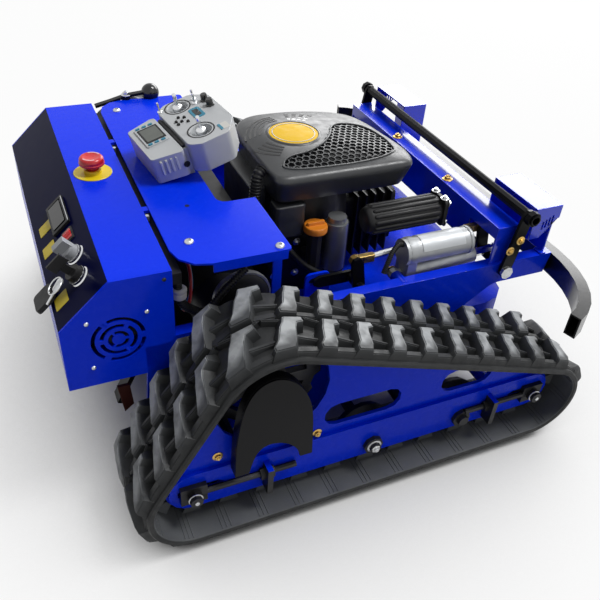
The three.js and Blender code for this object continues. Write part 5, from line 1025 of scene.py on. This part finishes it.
yellow_plastic = plastic("yellow_plastic", (0.78, 0.60, 0.01), (0.70, 0.52, 0.008), 0.35)
STOP = MACHINE @ Matrix.Translation((36, 12, 411))
PLATE = [
    (0, 0), (30, 0), (30, 0.8), (29.2, 1.5), (27.8, 1.2), (14, 1.4), (13.4, 6.4), (10.5, 6.6), (10.5, 0.3),
    (0, 0.3),
]
plate = turned("stop_plate", "chassis", yellow_plastic, STOP, [(PLATE,)], 96)
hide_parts("emergency_stop_collar")
BUTTON = [
    (0, 5.4), (9, 5.4), (9, 12), (15, 13), (19.6, 15.5), (20, 18), (19, 19.5), (19.4, 21), (18.6, 25),
    (16.6, 27.3), (14, 28), (12, 27.4), (9, 26.6), (0, 26.2),
]
button = turned("stop_button", "stop_button", red_plastic, STOP, [(BUTTON,)], 96)
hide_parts("emergency_stop_button")
pale_mark = plastic("pale_mark", (0.75, 0.5, 0.5), (0.7, 0.45, 0.45), 0.4)
blocks("release_marks", "stop_button", pale_mark, STOP,
       [(arc_strip(12.6, 15.4, start, start + 80), 26, 27.95) for start in (20, 200)], 0)


# Top cover: a folded blue sheet over the battery, held by stainless dome screws, with a black disc as
# painted shade for a blind hole, and two small silver hinge clips in the gap to the box. A black block
# below the clips fills the gap as painted shade.

cover_screws = [(millimetres(x, y, 410.9), (0, 0, 1), 7) for x, y in ((123, -226), (240, -274), (121, 238))]
fasteners("cover_screws", "chassis", steel, DOME, cover_screws)
# A black disc as painted shade for the blind hole.
turned("blind_hole", "chassis", black_plastic, MACHINE, [
    ([(0, 0), (3.6, 0), (3.6, 0.6), (2.6, 0.7), (2.4, 0.45), (0, 0.45)], (148, -131, 410.6)),
], 28)
blocks("hinge_clips", "chassis", steel, MACHINE,
       [(rounded(84, 89, y - 3, y + 3, 1), 399, 408) for y in (96, -135)], 0.0003)
# A black block fills the gap to the box as painted shade.
blocks("gap_seal", "chassis", black_plastic, MACHINE,
       [(rounded(83.2, 99, -272, 272, 2), 378, 396)])


# Ball lever: a flat black steel bar that turns on a pivot nut. A round ball of glossy black plastic is
# screwed to its end.


def ribbon(form, points, width, depth):
    """Adds a flat bar along points: width across the machine, depth up, in mm."""
    rings = []
    for k, point in enumerate(points):
        before, after = Vector(points[max(k - 1, 0)]), Vector(points[min(k + 1, len(points) - 1)])
        along = (after - before).normalized()
        side = along.cross(Vector((0, 0, 1))).normalized()
        rise = side.cross(along)
        corners = ((-1, -1), (1, -1), (1, 1), (-1, 1))
        at = Vector(point)
        rings.append([form.verts.new(at + side * width / 2 * a + rise * depth / 2 * b) for a, b in corners])
    skinned(form, rings)
    form.faces.new(rings[0])
    form.faces.new(rings[-1])


knob_black = plastic("gloss_black_plastic", (0.006, 0.006, 0.007), (0.008, 0.008, 0.009), 0.12, 0.01)
LEVER_Y, BALL_RADIUS, BALL_STEPS = 290, 17, 24
form = bmesh.new()
ribbon(form, [(x, LEVER_Y, z) for x, z in ((90, 402), (120, 409), (150, 417), (182, 420))], 12, 5)
lathe(form, [(0, 0), (9, 0), (9, 12), (0, 12)], (150, LEVER_Y, 406), sides=20)
bar = finished("lever_bar", shape(form, "lever_bar"), black_paint, "lever", 35, 0.0006)
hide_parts("ball_lever")
bends = [k * math.pi / BALL_STEPS for k in range(BALL_STEPS + 1)]
BALL = [(BALL_RADIUS * math.sin(a), -BALL_RADIUS * math.cos(a)) for a in bends]
BALL[0], BALL[-1] = (0, -BALL_RADIUS), (0, BALL_RADIUS)
turned("lever_ball", "lever", knob_black, MACHINE, [(BALL, (197, LEVER_Y, 419))], 48)
fasteners("lever_nut", "lever", steel, HEX, [(millimetres(150, LEVER_Y, 418), (0, 0, 1), 6)])


# Wiring: a corrugated black conduit leaves the box, drops through a white connector to the gear motor,
# and another passes under the cover, with the battery's red and blue leads beside them.


def smooth_path(points, steps=8):
    """Points of a smooth curve through the given places, in mm."""
    places = [Vector(p) for p in points]
    places = [places[0] * 2 - places[1]] + places + [places[-1] * 2 - places[-2]]
    path = []
    for a, b, c, d in zip(places, places[1:], places[2:], places[3:]):
        for k in range(steps):
            t = k / steps
            path.append(0.5 * (2 * b + (c - a) * t + (2 * a - 5 * b + 4 * c - d) * t * t
                               + (3 * b - a - 3 * c + d) * t * t * t))
    return path + [places[-2]]


def hose(name, body, material, points, radius, pitch=0.0, sides=16):
    """A round hose or wire through points in mm, ribbed at a pitch if one is given."""
    path = smooth_path(points)
    if pitch:
        lengths = [0]
        for a, b in zip(path, path[1:]):
            lengths.append(lengths[-1] + (b - a).length)
        count = max(2, int(lengths[-1] / (pitch / 4)))
        even, index = [], 0
        for k in range(count + 1):
            wanted = lengths[-1] * k / count
            while index < len(path) - 2 and lengths[index + 1] < wanted:
                index += 1
            share = (wanted - lengths[index]) / (lengths[index + 1] - lengths[index])
            even.append(path[index].lerp(path[index + 1], min(share, 1)))
        path = even
    form = bmesh.new()
    rings = []
    side = None
    for k, point in enumerate(path):
        along = (path[min(k + 1, len(path) - 1)] - path[max(k - 1, 0)]).normalized()
        if side is None:
            side = along.orthogonal().normalized()
        side = (side - along * side.dot(along)).normalized()
        up = along.cross(side)
        reach = radius * (0.82 if pitch and k % 4 in (2, 3) else 1.0)
        rings.append([
            form.verts.new(point + (side * math.cos(a) + up * math.sin(a)) * reach)
            for a in [2 * math.pi * s / sides for s in range(sides)]
        ])
    skinned(form, rings)
    form.faces.new(rings[0])
    form.faces.new(rings[-1])
    return finished(name, shape(form, name), material, body, 50)


conduit = hose("wiring_conduit_ribbed", "chassis", black_plastic, [
    (83.3, -236, 372), (91, -236, 372), (99, -238, 360), (101, -240, 340), (106, -240, 318),
    (120, -239, 302), (146.8, -238, 281.5),
], 7, 4)
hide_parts("wiring_conduit")
hose("second_conduit", "chassis", black_plastic, [
    (128, -238, 292), (146, -242, 300), (164, -243, 322), (186, -240, 342), (206, -232, 352),
], 6, 4)
white_plastic = plastic("white_plastic", (0.62, 0.61, 0.58), (0.54, 0.53, 0.5), 0.45)
turned("white_connector", "chassis", white_plastic, MACHINE, [
    ([(0, -7), (9, -7), (11, -5), (11, 1), (9.5, 3), (11, 5), (11, 9), (9, 11), (0, 11)], (102, -240, 336),
     (0.05, 0, 1)),
], 28)
red_wire = plastic("red_wire", (0.5, 0.01, 0.012), (0.38, 0.008, 0.01), 0.35)
cyan_wire = plastic("blue_wire", (0.02, 0.35, 0.6), (0.015, 0.28, 0.5), 0.35)
hose("red_lead", "chassis", red_wire, [
    (108, -236, 300), (120, -226, 306), (128, -208, 318), (132, -190, 336), (134, -150, 350),
    (150, -128, 352),
], 2.6)
hose("blue_lead", "chassis", cyan_wire, [
    (108, -228, 296), (124, -214, 306), (133, -196, 322), (138, -160, 344), (150, -120, 350),
], 2.2)


# Battery: a black moulded case that stands under the cover, behind the engine. A red strip covers its
# terminals along the near side.

dressed("battery", black_plastic, 0.002)
blocks("battery_strip", "chassis", red_plastic, MACHINE,
       [(rounded(112, 240, -134, -130, 1), 336, 344)], 0.0005)


# Motor flange: the right gear motor's domed black end shield, set on from inside the chassis side. A
# turned aluminium rim runs round it.

satin_grey = metal("satin_grey_barrel", (0.26, 0.27, 0.28), (0.19, 0.195, 0.20), 0.36, 60, 0.05, 0.6)
MOTOR_END = ((204, -216, 292), (0, -1, 0))
turned("motor_flange", "chassis", black_plastic, MACHINE, [
    ([(0, 0), (44, 0), (44, 8), (38, 13), (28, 15), (10, 15.5), (0, 15.5)], *MOTOR_END),
])
turned("motor_flange_rim", "chassis", satin_grey, MACHINE, [
    ([(43.8, 1), (46.5, 1), (47, 3), (46.5, 9), (43.5, 9.4), (43, 8)], *MOTOR_END),
])


# Stay under the control box: a flat steel bracket in red-brown primer. It is welded below the box's
# right end.

primer = powder_coat("red_brown_primer", (0.055, 0.011, 0.007), (0.038, 0.008, 0.005), 0.5, 0.2)
STAY = MACHINE @ Matrix.Translation((0, -250, 0)) @ UPRIGHT
blocks("box_stay", "chassis", primer, STAY,
       [([(-2, 194), (5, 140), (20, 153), (17, 194)], -3, 3)], 0.0006)


# Handset: a silver-grey moulded radio transmitter that lies on the cover, with a dark screen between two
# rows of teal buttons, two gimbals with polished sticks, toggles and two black knobs.

HANDSET = (MACHINE @ Matrix.Translation((126, -56, 411.3)) @ Matrix.Rotation(0.122, 4, "Z")
           @ Matrix.Rotation(-0.262, 4, "Y"))
silver_plastic = plastic("silver_plastic", (0.50, 0.515, 0.53), (0.43, 0.445, 0.46), 0.36)
teal_plastic = plastic("teal_plastic", (0.01, 0.22, 0.34), (0.008, 0.17, 0.27), 0.35)
dressed("transmitter", silver_plastic, 0.0022, 32)


def on_handset(name, material, solids, bevel=0.0003):
    """A piece of straight blocks on the handset."""
    return blocks(name, "handset", material, HANDSET, solids, bevel)


BEZEL = rounded(8, 49, 34, 100, 4)
on_handset("screen_bezel", silver_plastic, [(BEZEL, 42, 46.4, shrunk(BEZEL, 1.2))], 0.0006)
on_handset("screen_frame", black_plastic, [(rounded(12, 46, 44, 92, 2), 43, 46.8)])
lcd_glass = screen_glass("lcd_glass", (0.075, 0.085, 0.075), (0.11, 0.12, 0.105))
on_handset("screen", lcd_glass, [(rounded(15, 43, 48, 88, 1), 43, 47.1)], 0.0001)
buttons = []
for x in (16, 27, 38):
    for y in (36.2, 94.2):
        key = rounded(x - 4, x + 4, y, y + 5, 1.6)
        buttons.append((key, 44, 48, shrunk(key, 0.5)))
on_handset("screen_buttons", teal_plastic, buttons, 0)
on_handset("strap", black_plastic, [(rounded(53.5, 58.5, 3, 104, 1), 38, 44)], 0.0008)
GIMBAL_RIM = [(13.5, 36.5), (19.4, 49.6), (20.8, 50.6), (22.4, 50.4), (22.8, 49.2), (20.5, 49), (14.5, 36)]
GIMBAL_GATE = [(0, 36.9), (13.4, 36.9), (13.4, 37.4), (0, 37.4)]
GIMBAL_RADIUS, GIMBAL_HEIGHT = 9, 47.3
STICK_TOP = [(3, 54.5), (2.6, 56), (2.2, 62), (3.4, 63), (3.6, 64), (3.4, 72), (2.6, 74), (0, 74)]
bends = [k * math.pi / 16 for k in range(1, 12)]
gimbal_ball = [(GIMBAL_RADIUS * math.sin(a), GIMBAL_HEIGHT - GIMBAL_RADIUS * math.cos(a)) for a in bends]
STICK = [(0, GIMBAL_HEIGHT - GIMBAL_RADIUS)] + gimbal_ball + STICK_TOP
for side, y in (("right", 12), ("left", 106)):
    at = (93, y, 0)
    turned(f"gimbal_rim_{side}", "handset", black_plastic, HANDSET, [(GIMBAL_RIM, at)])
    turned(f"gimbal_gate_{side}", "handset", knob_black, HANDSET, [(GIMBAL_GATE, at)], 48)
    stick = turned(f"stick_{side}_turned", f"stick_{side}", chrome, HANDSET, [(STICK, at)], 40)
    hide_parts(f"transmitter_stick_{side}")

NAME_PLATE = rounded(100, 120, 48, 82, 5)
on_handset("name_plate", teal_plastic, [(NAME_PLATE, 49, 50.9, shrunk(NAME_PLATE, 0.6))], 0)
on_handset("name_plate_window", dark_glass, [(rounded(105, 115, 54, 76, 2), 50, 51.2)], 0)
CORNER_PLATE = rounded(117, 134, -14, 6, 3)
on_handset("corner_plate", white_plastic,
           [(CORNER_PLATE, 49, 50.6, shrunk(CORNER_PLATE, 0.4))], 0)
on_handset("corner_plate_stripe", teal_plastic,
           [(rounded(117.5, 122, -13, 5, 1), 49, 50.8)], 0)
TRIM = [(0, 49), (2.6, 49), (2.6, 52), (2, 52.8), (0, 52.8)]
turned("trim_buttons", "handset", black_plastic, HANDSET, [
    (TRIM, (x, y, 0)) for x, y in ((72, 52), (72, 62), (80, 57), (88, 50), (88, 66), (80, 72))
], 20)
TOGGLE = [(0, 48), (4.4, 48), (4.4, 52), (3.4, 53), (1.8, 53.5), (1.5, 60), (2.1, 66), (1.6, 68), (0, 68)]
turned("toggles", "handset", chrome, HANDSET, [
    (TOGGLE, (x, y, 0)) for x, y in ((124, 108), (64, 112), (120, 94))
], 24)
DIAL = [(0, 48), (7.5, 48), (7.5, 51), (6, 52), (5.6, 60), (4.8, 61.5), (0, 61.5)]
turned("dials", "handset", knob_black, HANDSET, [(DIAL, (137, y, 0)) for y in (91, 70)], 28)
turned("side_socket", "handset", black_plastic, HANDSET,
       [([(0, -0.4), (3, -0.4), (3.2, 0.9), (5, 0.9), (5.2, 0), (0, -1)], (49, -12, 20), (0, -1, 0))], 28)
grips = []
for x in range(10, 42, 8):
    grips.append((rectangle(x, x + 4, -9.5 + (30 - x) * 0.12, 2), 14, 38))
on_handset("grip_ribs", silver_plastic, grips, 0.0012)


# Engine shroud: a dark grey moulded hood with a low crown, cooling slots round it and a sunk crescent
# that holds a honeycomb screen. The slots are thin black strips laid on the dome and the crescent's floor
# is black, both as painted shade for openings. A plain yellow disc with a dark ring is let into the crown.

shroud_plastic = plastic("shroud_plastic", (0.020, 0.022, 0.025), (0.027, 0.029, 0.032), 0.36, 0.1, 420)
CROWN_X, CROWN_RADIUS, CROWN_Z, SHOULDER_Z = 375, 47, 441, 428
SHROUD_PLAN = softened([
    (292, -112), (300, -128), (330, -130), (520, -130), (542, -128), (555, -100), (555, -60), (545, 0),
    (541, 30), (528, 72), (494, 98), (440, 116), (388, 122), (330, 120), (300, 92), (292, 50), (291, -40),
], True, 3)
SHROUD_SIDE = (
    (0.93, 382), (0.945, 388), (0.965, 398), (0.99, 412), (1.0, 418), (0.996, 421.5), (0.982, 425),
    (0.962, 427),
)
DOME_RINGS, DOME_SIDES, DOME_POWER = 36, 168, 1.5


def shroud_reach(angle):
    """Distance from the crown's middle to the shroud's edge in one direction."""
    way = Vector((math.cos(angle), math.sin(angle)))
    best = 0
    for (x0, y0), (x1, y1) in zip(SHROUD_PLAN, SHROUD_PLAN[1:] + SHROUD_PLAN[:1]):
        start, edge = Vector((x0 - CROWN_X, y0)), Vector((x1 - x0, y1 - y0))
        across = way.x * edge.y - way.y * edge.x
        if abs(across) > 1e-9:
            t = (start.x * edge.y - start.y * edge.x) / across
            s = (start.x * way.y - start.y * way.x) / across
            if t > 0 and -1e-6 <= s <= 1 + 1e-6:
                best = max(best, t)
    return best


def dome_level(share):
    """Height of the dome at a share of the way from its crown to its shoulder."""
    return CROWN_Z - (CROWN_Z - SHOULDER_Z) * share ** DOME_POWER


def dome_height(x, y):
    """Height of the shroud's top over a place on its plan."""
    radius = math.hypot(x - CROWN_X, y)
    edge = shroud_reach(math.atan2(y, x - CROWN_X)) * SHROUD_SIDE[-1][0]
    return dome_level(min(max((radius - CROWN_RADIUS) / (edge - CROWN_RADIUS), 0), 1))


def within(x, y, outline):
    """True for a place inside an outline."""
    inside = False
    for (x0, y0), (x1, y1) in zip(outline, outline[1:] + outline[:1]):
        if (y0 > y) != (y1 > y) and x < (x1 - x0) * (y - y0) / (y1 - y0) + x0:
            inside = not inside
    return inside


SCREEN_REAR, SCREEN_LENGTH, SCREEN_NEAR, SCREEN_DEPTH = 314, 222, -112, 9
SCREEN_SHARES = (
    (0, 1), (0.93, 1), (1, 0.42), (0.92, -0.18), (0.65, -0.22), (0.53, 0.26), (0.32, 0.6), (0.05, 0.66),
)
crescent = softened([(SCREEN_REAR + SCREEN_LENGTH * a, SCREEN_NEAR * b) for a, b in SCREEN_SHARES])
ways = [2 * math.pi * k / DOME_SIDES for k in range(DOME_SIDES)]
reaches = [shroud_reach(way) for way in ways]
levels = [([reach * share for reach in reaches], z) for share, z in SHROUD_SIDE]
shoulder = [reach * SHROUD_SIDE[-1][0] for reach in reaches]
for ring in range(1, DOME_RINGS + 1):
    t = 1 - ring / DOME_RINGS
    levels.append(([CROWN_RADIUS + (reach - CROWN_RADIUS) * t for reach in shoulder], dome_level(t)))
form = bmesh.new()
placed = []
for radii, z in levels:
    row = []
    for way, radius in zip(ways, radii):
        x, y = CROWN_X + radius * math.cos(way), radius * math.sin(way)
        sunk = SCREEN_DEPTH if z > SHOULDER_Z - 0.5 and within(x, y, crescent) else 0
        row.append(form.verts.new((x, y, z - sunk)))
    placed.append(row)
skinned(form, placed)
form.faces.new(placed[-1])
shroud_mesh = shape(form, "engine_shroud_moulded")
shroud_mesh.materials.append(shroud_plastic)
shroud_mesh.materials.append(knob_black)
# The sunk crescent's floor and walls under the screen take gloss black as painted shade of the opening.
for face in shroud_mesh.polygons:
    x, y, z = face.center * 1000
    x += SETBACK
    if 416 < z < dome_height(x, y) - 1.5 and within(x, y, crescent):
        face.material_index = 1
shroud = finished("engine_shroud_moulded", shroud_mesh, shroud_plastic, "deck", 35)
wall = shroud.modifiers.new("wall", "SOLIDIFY")
wall.thickness = 0.0025
wall.offset = -1
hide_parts("engine_shroud")


def laid(form, outline, proud=0.35, depth=1.2):
    """Adds a thin plate that follows the shroud's top."""
    levels = [dome_height(x, y) for x, y in outline]
    low = [form.verts.new((x, y, z - depth)) for (x, y), z in zip(outline, levels)]
    high = [form.verts.new((x, y, z + proud)) for (x, y), z in zip(outline, levels)]
    form.faces.new(list(reversed(low)))
    form.faces.new(high)
    skinned(form, (low, high))


rim_path = [(x, y, dome_height(x, y) + 0.2) for x, y in crescent]
hose("screen_rim", "deck", shroud_plastic, rim_path + rim_path[:1], 1.8, sides=10)
# Black strips laid on the dome stand for the cooling slots as painted shade.
slot_shade_strips = [arc_strip(radius, radius + 3.6, start, end)
          for radius in (56, 64, 72, 80) for start, end in ((98, 168), (196, 232))]
slot_shade_strips += [arc_strip(radius, radius + 7, start, start + 5, 4)
           for radius in (56, 67, 78, 89) for start in (46, 55, 64, 73)]
form = bmesh.new()
for strip in slot_shade_strips:
    laid(form, [(x + CROWN_X, y) for x, y in strip])
finished("shroud_slots", shape(form, "shroud_slots"), knob_black, "deck", 35)
CROWN = MACHINE @ Matrix.Translation((CROWN_X, 0, CROWN_Z))
badge_yellow = plastic("badge_yellow", (0.75, 0.47, 0.006), (0.68, 0.41, 0.005), 0.45, gloss=0.08)
turned("crown_rim", "deck", shroud_plastic, CROWN,
       [([(48.5, -2), (48.3, 0), (46.6, 1.6), (44, 1.9), (42.6, 0.6), (42.6, -2)],)], 96)
turned("crown_disc", "deck", badge_yellow, CROWN,
       [([(0, 0), (42.5, 0), (42.5, 1), (41, 1.3), (0, 1.9)],)], 96)
turned("crown_ring", "deck", knob_black, CROWN,
       [([(36, 1), (37.6, 1), (37.6, 1.75), (36, 1.8), (36, 1)],)], 96)


# Honeycomb screen: hexagonal cells on a 12 mm pitch, set out over the crescent and moulded in one piece
# of the shroud's plastic. It is let into the crescent opening and follows the dome.

CELL_PITCH, CELL_WALL, CELL_DEPTH = 12, 1.9, 3.4
CELL_ROWS, CELL_COLUMNS, SLOPE_STEP = 30, 40, 3


def hexagon(radius):
    """A hexagon's outline, with a corner at either end of its width."""
    corners = [math.radians(30 + 60 * k) for k in range(6)]
    return [(radius * math.cos(a), radius * math.sin(a)) for a in corners]


def cell_form():
    """One open hexagonal cell of unit scale, with its walls' outer half."""
    form = bmesh.new()
    outer, inner = hexagon(CELL_PITCH / math.sqrt(3)), hexagon((CELL_PITCH - CELL_WALL) / math.sqrt(3))
    levels = ((outer, -CELL_DEPTH), (outer, 0), (inner, 0), (inner, -CELL_DEPTH))
    rings = [[form.verts.new((x, y, z)) for x, y in outline] for outline, z in levels]
    skinned(form, rings + rings[:1])
    return shape(form, "honeycomb_cell", MM)


cells = []
row_step = CELL_PITCH * math.sqrt(3) / 2
for row in range(CELL_ROWS):
    for column in range(CELL_COLUMNS):
        x = SCREEN_REAR - CELL_PITCH + (column + row % 2 / 2) * CELL_PITCH
        y = SCREEN_NEAR - 14 + row * row_step
        if within(x, y, crescent):
            fall_x = dome_height(x - SLOPE_STEP, y) - dome_height(x + SLOPE_STEP, y)
            fall_y = dome_height(x, y - SLOPE_STEP) - dome_height(x, y + SLOPE_STEP)
            facing = (fall_x / SLOPE_STEP / 2, fall_y / SLOPE_STEP / 2, 1)
            cells.append((millimetres(x, y, dome_height(x, y) - 0.2), facing, 1))
honeycomb = fasteners("honeycomb_screen", "deck", shroud_plastic,
                      cell_form(), cells, spin=0)
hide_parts("shroud_grille")


# Engine: a black air-cooled single-cylinder engine with cast fins, a dipstick cap in orange plastic, a
# satin grey starter barrel, and a ribbed black exhaust box with chromed bolts.

cast_black = plastic("cast_black", (0.010, 0.010, 0.011), (0.018, 0.018, 0.019), 0.4, 0.25, 260, 0.25)
dressed("engine_block", cast_black, 0.0015, 30)
orange_plastic = plastic("orange_plastic", (0.72, 0.22, 0.012), (0.62, 0.18, 0.01), 0.35)
CAP = MACHINE @ Matrix.Translation((365, -134, 327))
form = bmesh.new()
lathe(form, [(0, 0), (19, 0), (20.5, 1.5), (20.5, 10), (19, 12.4), (15, 13), (0, 13)], sides=48)
RIDGE = rounded(-17, 17, -4.2, 4.2, 4)
prism(form, RIDGE, 12, 18, [(x, y, 20 - abs(x) * 0.12) for x, y in shrunk(RIDGE, 1.2)])
cap = finished("oil_cap_moulded", shape(form, "oil_cap", CAP), orange_plastic, "filler_cap",
               40, 0.0006)
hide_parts("oil_filler_cap")
dressed("starter_motor", satin_grey, 0.001, 40)

MUFFLER = MACHINE @ Matrix.Translation((438, -163, 350)) @ Matrix.Rotation(math.pi / 2, 4, "Y")
DRUM_RADIUS, DRUM_RIBS = 23, 14
drum = [(0, 0), (17, 0), (21, 3), (DRUM_RADIUS, 9), (DRUM_RADIUS, 139), (21, 145), (17, 148), (0, 148)]
form = bmesh.new()
lathe(form, drum, sides=48)
for k in range(DRUM_RIBS):
    angle = 2 * math.pi * k / DRUM_RIBS
    at = (DRUM_RADIUS * math.cos(angle), DRUM_RADIUS * math.sin(angle), 0)
    lathe(form, [(0, 10), (2.4, 11), (3.6, 14), (3.6, 132), (2.4, 136), (0, 137)], at, sides=14)
ribbed = shape(form, "muffler_ribbed", MUFFLER)
muffler = finished("muffler_ribbed", ribbed, cast_black, "deck", 50)
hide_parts("muffler")
hose("exhaust_pipe", "deck", cast_black, [
    (545, -150, 348), (545, -120, 340), (546, -92, 318), (548, -66, 300), (550, -50, 296),
], 11)
blocks("muffler_plate", "deck", cast_black, MUFFLER, [
    (rounded(-25, 25, -25, 25, 8), 142, 149), (rounded(-21, 21, -21, 21, 6), 148, 153),
], 0.001)
muffler_bolts = [
    (millimetres(587, -163 + y, 350 + z), (1, 0, 0), 5) for y in (-18.5, 18.5) for z in (-18.5, 18.5)
]
muffler_bolts += [(millimetres(583.5, -163 + y, 375), (0, 0, 1), 4.5) for y in (-14, 14)]
fasteners("muffler_bolts", "deck", chrome, HEX, muffler_bolts)
ENGINE_BOLTS = [(millimetres(x, -97, z), (0, -1, 0), 4.5) for x in (310, 350, 430) for z in (220, 285)]
fasteners("engine_bolts", "deck", steel, HEX, ENGINE_BOLTS)


# Engine harness: a corrugated black sleeve down the shroud's rear corner, and a smooth black fuel pipe
# beside it. The dark air box behind them is a plain moulding.

hose("engine_sleeve", "deck", black_plastic, [
    (286, -84, 428), (276, -90, 420), (271, -94, 396), (270, -96, 360), (272, -98, 322), (278, -100, 292),
], 10, 5)
hose("fuel_pipe", "deck", black_plastic, [
    (300, -120, 330), (318, -132, 300), (345, -142, 268), (372, -150, 250), (400, -146, 236),
], 5)
blocks("air_box", "deck", shroud_plastic, MACHINE, [
    (rounded(268, 300, -78, 60, 8), 316, 392), (rounded(296, 350, -126, -92, 8), 316, 376),
], 0.003)


# Lift frame: welded black flat bars and a round crossbar that raise the deck, on a cross shaft with
# bright pin heads. Bell cranks at the rear are tied to it by rods with yellow-zinc clevises.

PIN_AT = millimetres(663, 0, 275)


def on_pin_head(middle, _):
    """True on the shaft's bright heads outside the arms."""
    away = math.hypot(middle.x - PIN_AT.x, middle.z - PIN_AT.z)
    return abs(middle.y) > 0.2803 and away < 0.0125


dressed("lift_frame", black_paint, SHEET_EDGE, 40, [(steel, on_pin_head)])
for side, name in SIDES:
    dressed(f"rear_lift_lever_{name}", black_paint, SHEET_EDGE, 40)
    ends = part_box(f"tie_rod_{name}")
    low, high = ends[0][0] + 0.034, ends[1][0] - 0.034
    dressed(f"tie_rod_{name}", steel, SHEET_EDGE, 40,
            [(brass, lambda middle, _, low=low, high=high: middle.x < low or middle.x > high)])
    clevises = []
    for end, inward in zip(ends, (1, -1)):
        x, z = end[0] * 1000 + SETBACK + inward * 28, end[2] * 1000 + inward * 11
        clevises.append((rounded(x - 17, x + 17, side * 200 - 5, side * 200 + 5, 2), z - 7, z + 7))
    blocks(f"clevises_{name}", f"lift_rod_{name}", brass, MACHINE, clevises, 0.001)
    arm_bolts = [(millimetres(x, side * 280, z), (0, side, 0), 5) for x, z in ((660, 318), (676, 336))]
    fasteners(f"arm_bolts_{name}", "lift", brass, HEX, arm_bolts)
    cap = [(0, 0), (7, 0), (7, -1), (9.2, -1), (9.6, 0.4), (8, 1), (6.5, 0.2), (0, 0.2)]
    turned(f"crossbar_cap_{name}", "lift", black_paint, MACHINE,
           [(cap, (680, side * 295.8, 382), (0, side, 0))], 32)
fasteners("beam_bolts", "chassis", brass, HEX,
          [(millimetres(648, side * 92, 358), (0, 0, 1), 6) for side in (-1, 1)])


# Linear actuators: a silver motor can and push tube side by side in cast end pieces, a bright rod, and
# yellow-zinc clevis bolts. A plain pale label is wrapped round each can.

silver = metal("satin_aluminium", (0.36, 0.37, 0.38), (0.28, 0.29, 0.30), 0.46, 80, 0.05, 0.75)
label_foil = metal("pale_foil", (0.52, 0.54, 0.56), (0.46, 0.48, 0.50), 0.45, 60, 0.02, 0.3)
CAN_Y, CAN_Z = 230, 322
LABEL_STEPS, LABEL_START, LABEL_SWEEP = 20, 20, 140
for side, name in SIDES:
    y = side * CAN_Y
    dressed(f"actuator_{name}", silver, 0.0015, 32)
    dressed(f"actuator_rod_{name}", chrome, SHEET_EDGE, 40,
            [(brass, lambda middle, _: middle.x > 0.318)])
    form = bmesh.new()
    count = LABEL_STEPS
    rows = []
    for x in (506, 588):
        rows.append([])
        for reach in (22.5, 23.5):
            for k in range(count + 1):
                angle = math.radians(LABEL_START + LABEL_SWEEP * k / count)
                spot = (x, y + reach * math.cos(angle), CAN_Z + reach * math.sin(angle))
                rows[-1].append(form.verts.new(spot))
    for k in range(count):
        near, far = rows
        form.faces.new((near[k + count + 1], near[k + count + 2], far[k + count + 2], far[k + count + 1]))
        form.faces.new((near[k], far[k], far[k + 1], near[k + 1]))
        for row in rows:
            form.faces.new((row[k], row[k + 1], row[k + count + 2], row[k + count + 1]))
    for k in (0, count):
        form.faces.new((rows[0][k], rows[0][k + count + 1], rows[1][k + count + 1], rows[1][k]))
    can = f"actuator_{name}_can"
    finished(f"can_label_{name}", shape(form, "can_label"), label_foil, can, 30)
    turned(f"can_caps_{name}", can, silver, MACHINE, [
        ([(0, 0), (23.4, 0), (24.2, 1), (24.2, 5), (23.4, 6), (0, 6)], (600, y, CAN_Z), (1, 0, 0)),
        ([(0, 0), (19, 0), (23, -2), (23.8, -6), (23.8, -12), (0, -12)], (482, y, CAN_Z), (-1, 0, 0)),
    ], 48)
    fasteners(f"can_screws_{name}", can, steel, DOME, [
        (millimetres(606, y + 16 * math.cos(a), CAN_Z + 16 * math.sin(a)), (1, 0, 0), 2.6)
        for a in (0.8, 2.3, 3.9, 5.5)
    ])
    fasteners(f"actuator_pins_{name}", "chassis", brass, HEX,
              [(millimetres(470, y - side * 9, 280), (0, -side, 0), 6)])
    hose(f"actuator_lead_{name}", can, black_plastic, [
        (484, y, 334), (470, y, 338), (456, y + side * 6, 330), (446, y + side * 12, 314),
        (440, y + side * 14, 298),
    ], 4.5, 3)


# Mower blade: a hardened steel bar with bright ground edges. It is bolted to the engine's shaft under
# the deck.

dressed("blade", steel, 0.0006, 30)
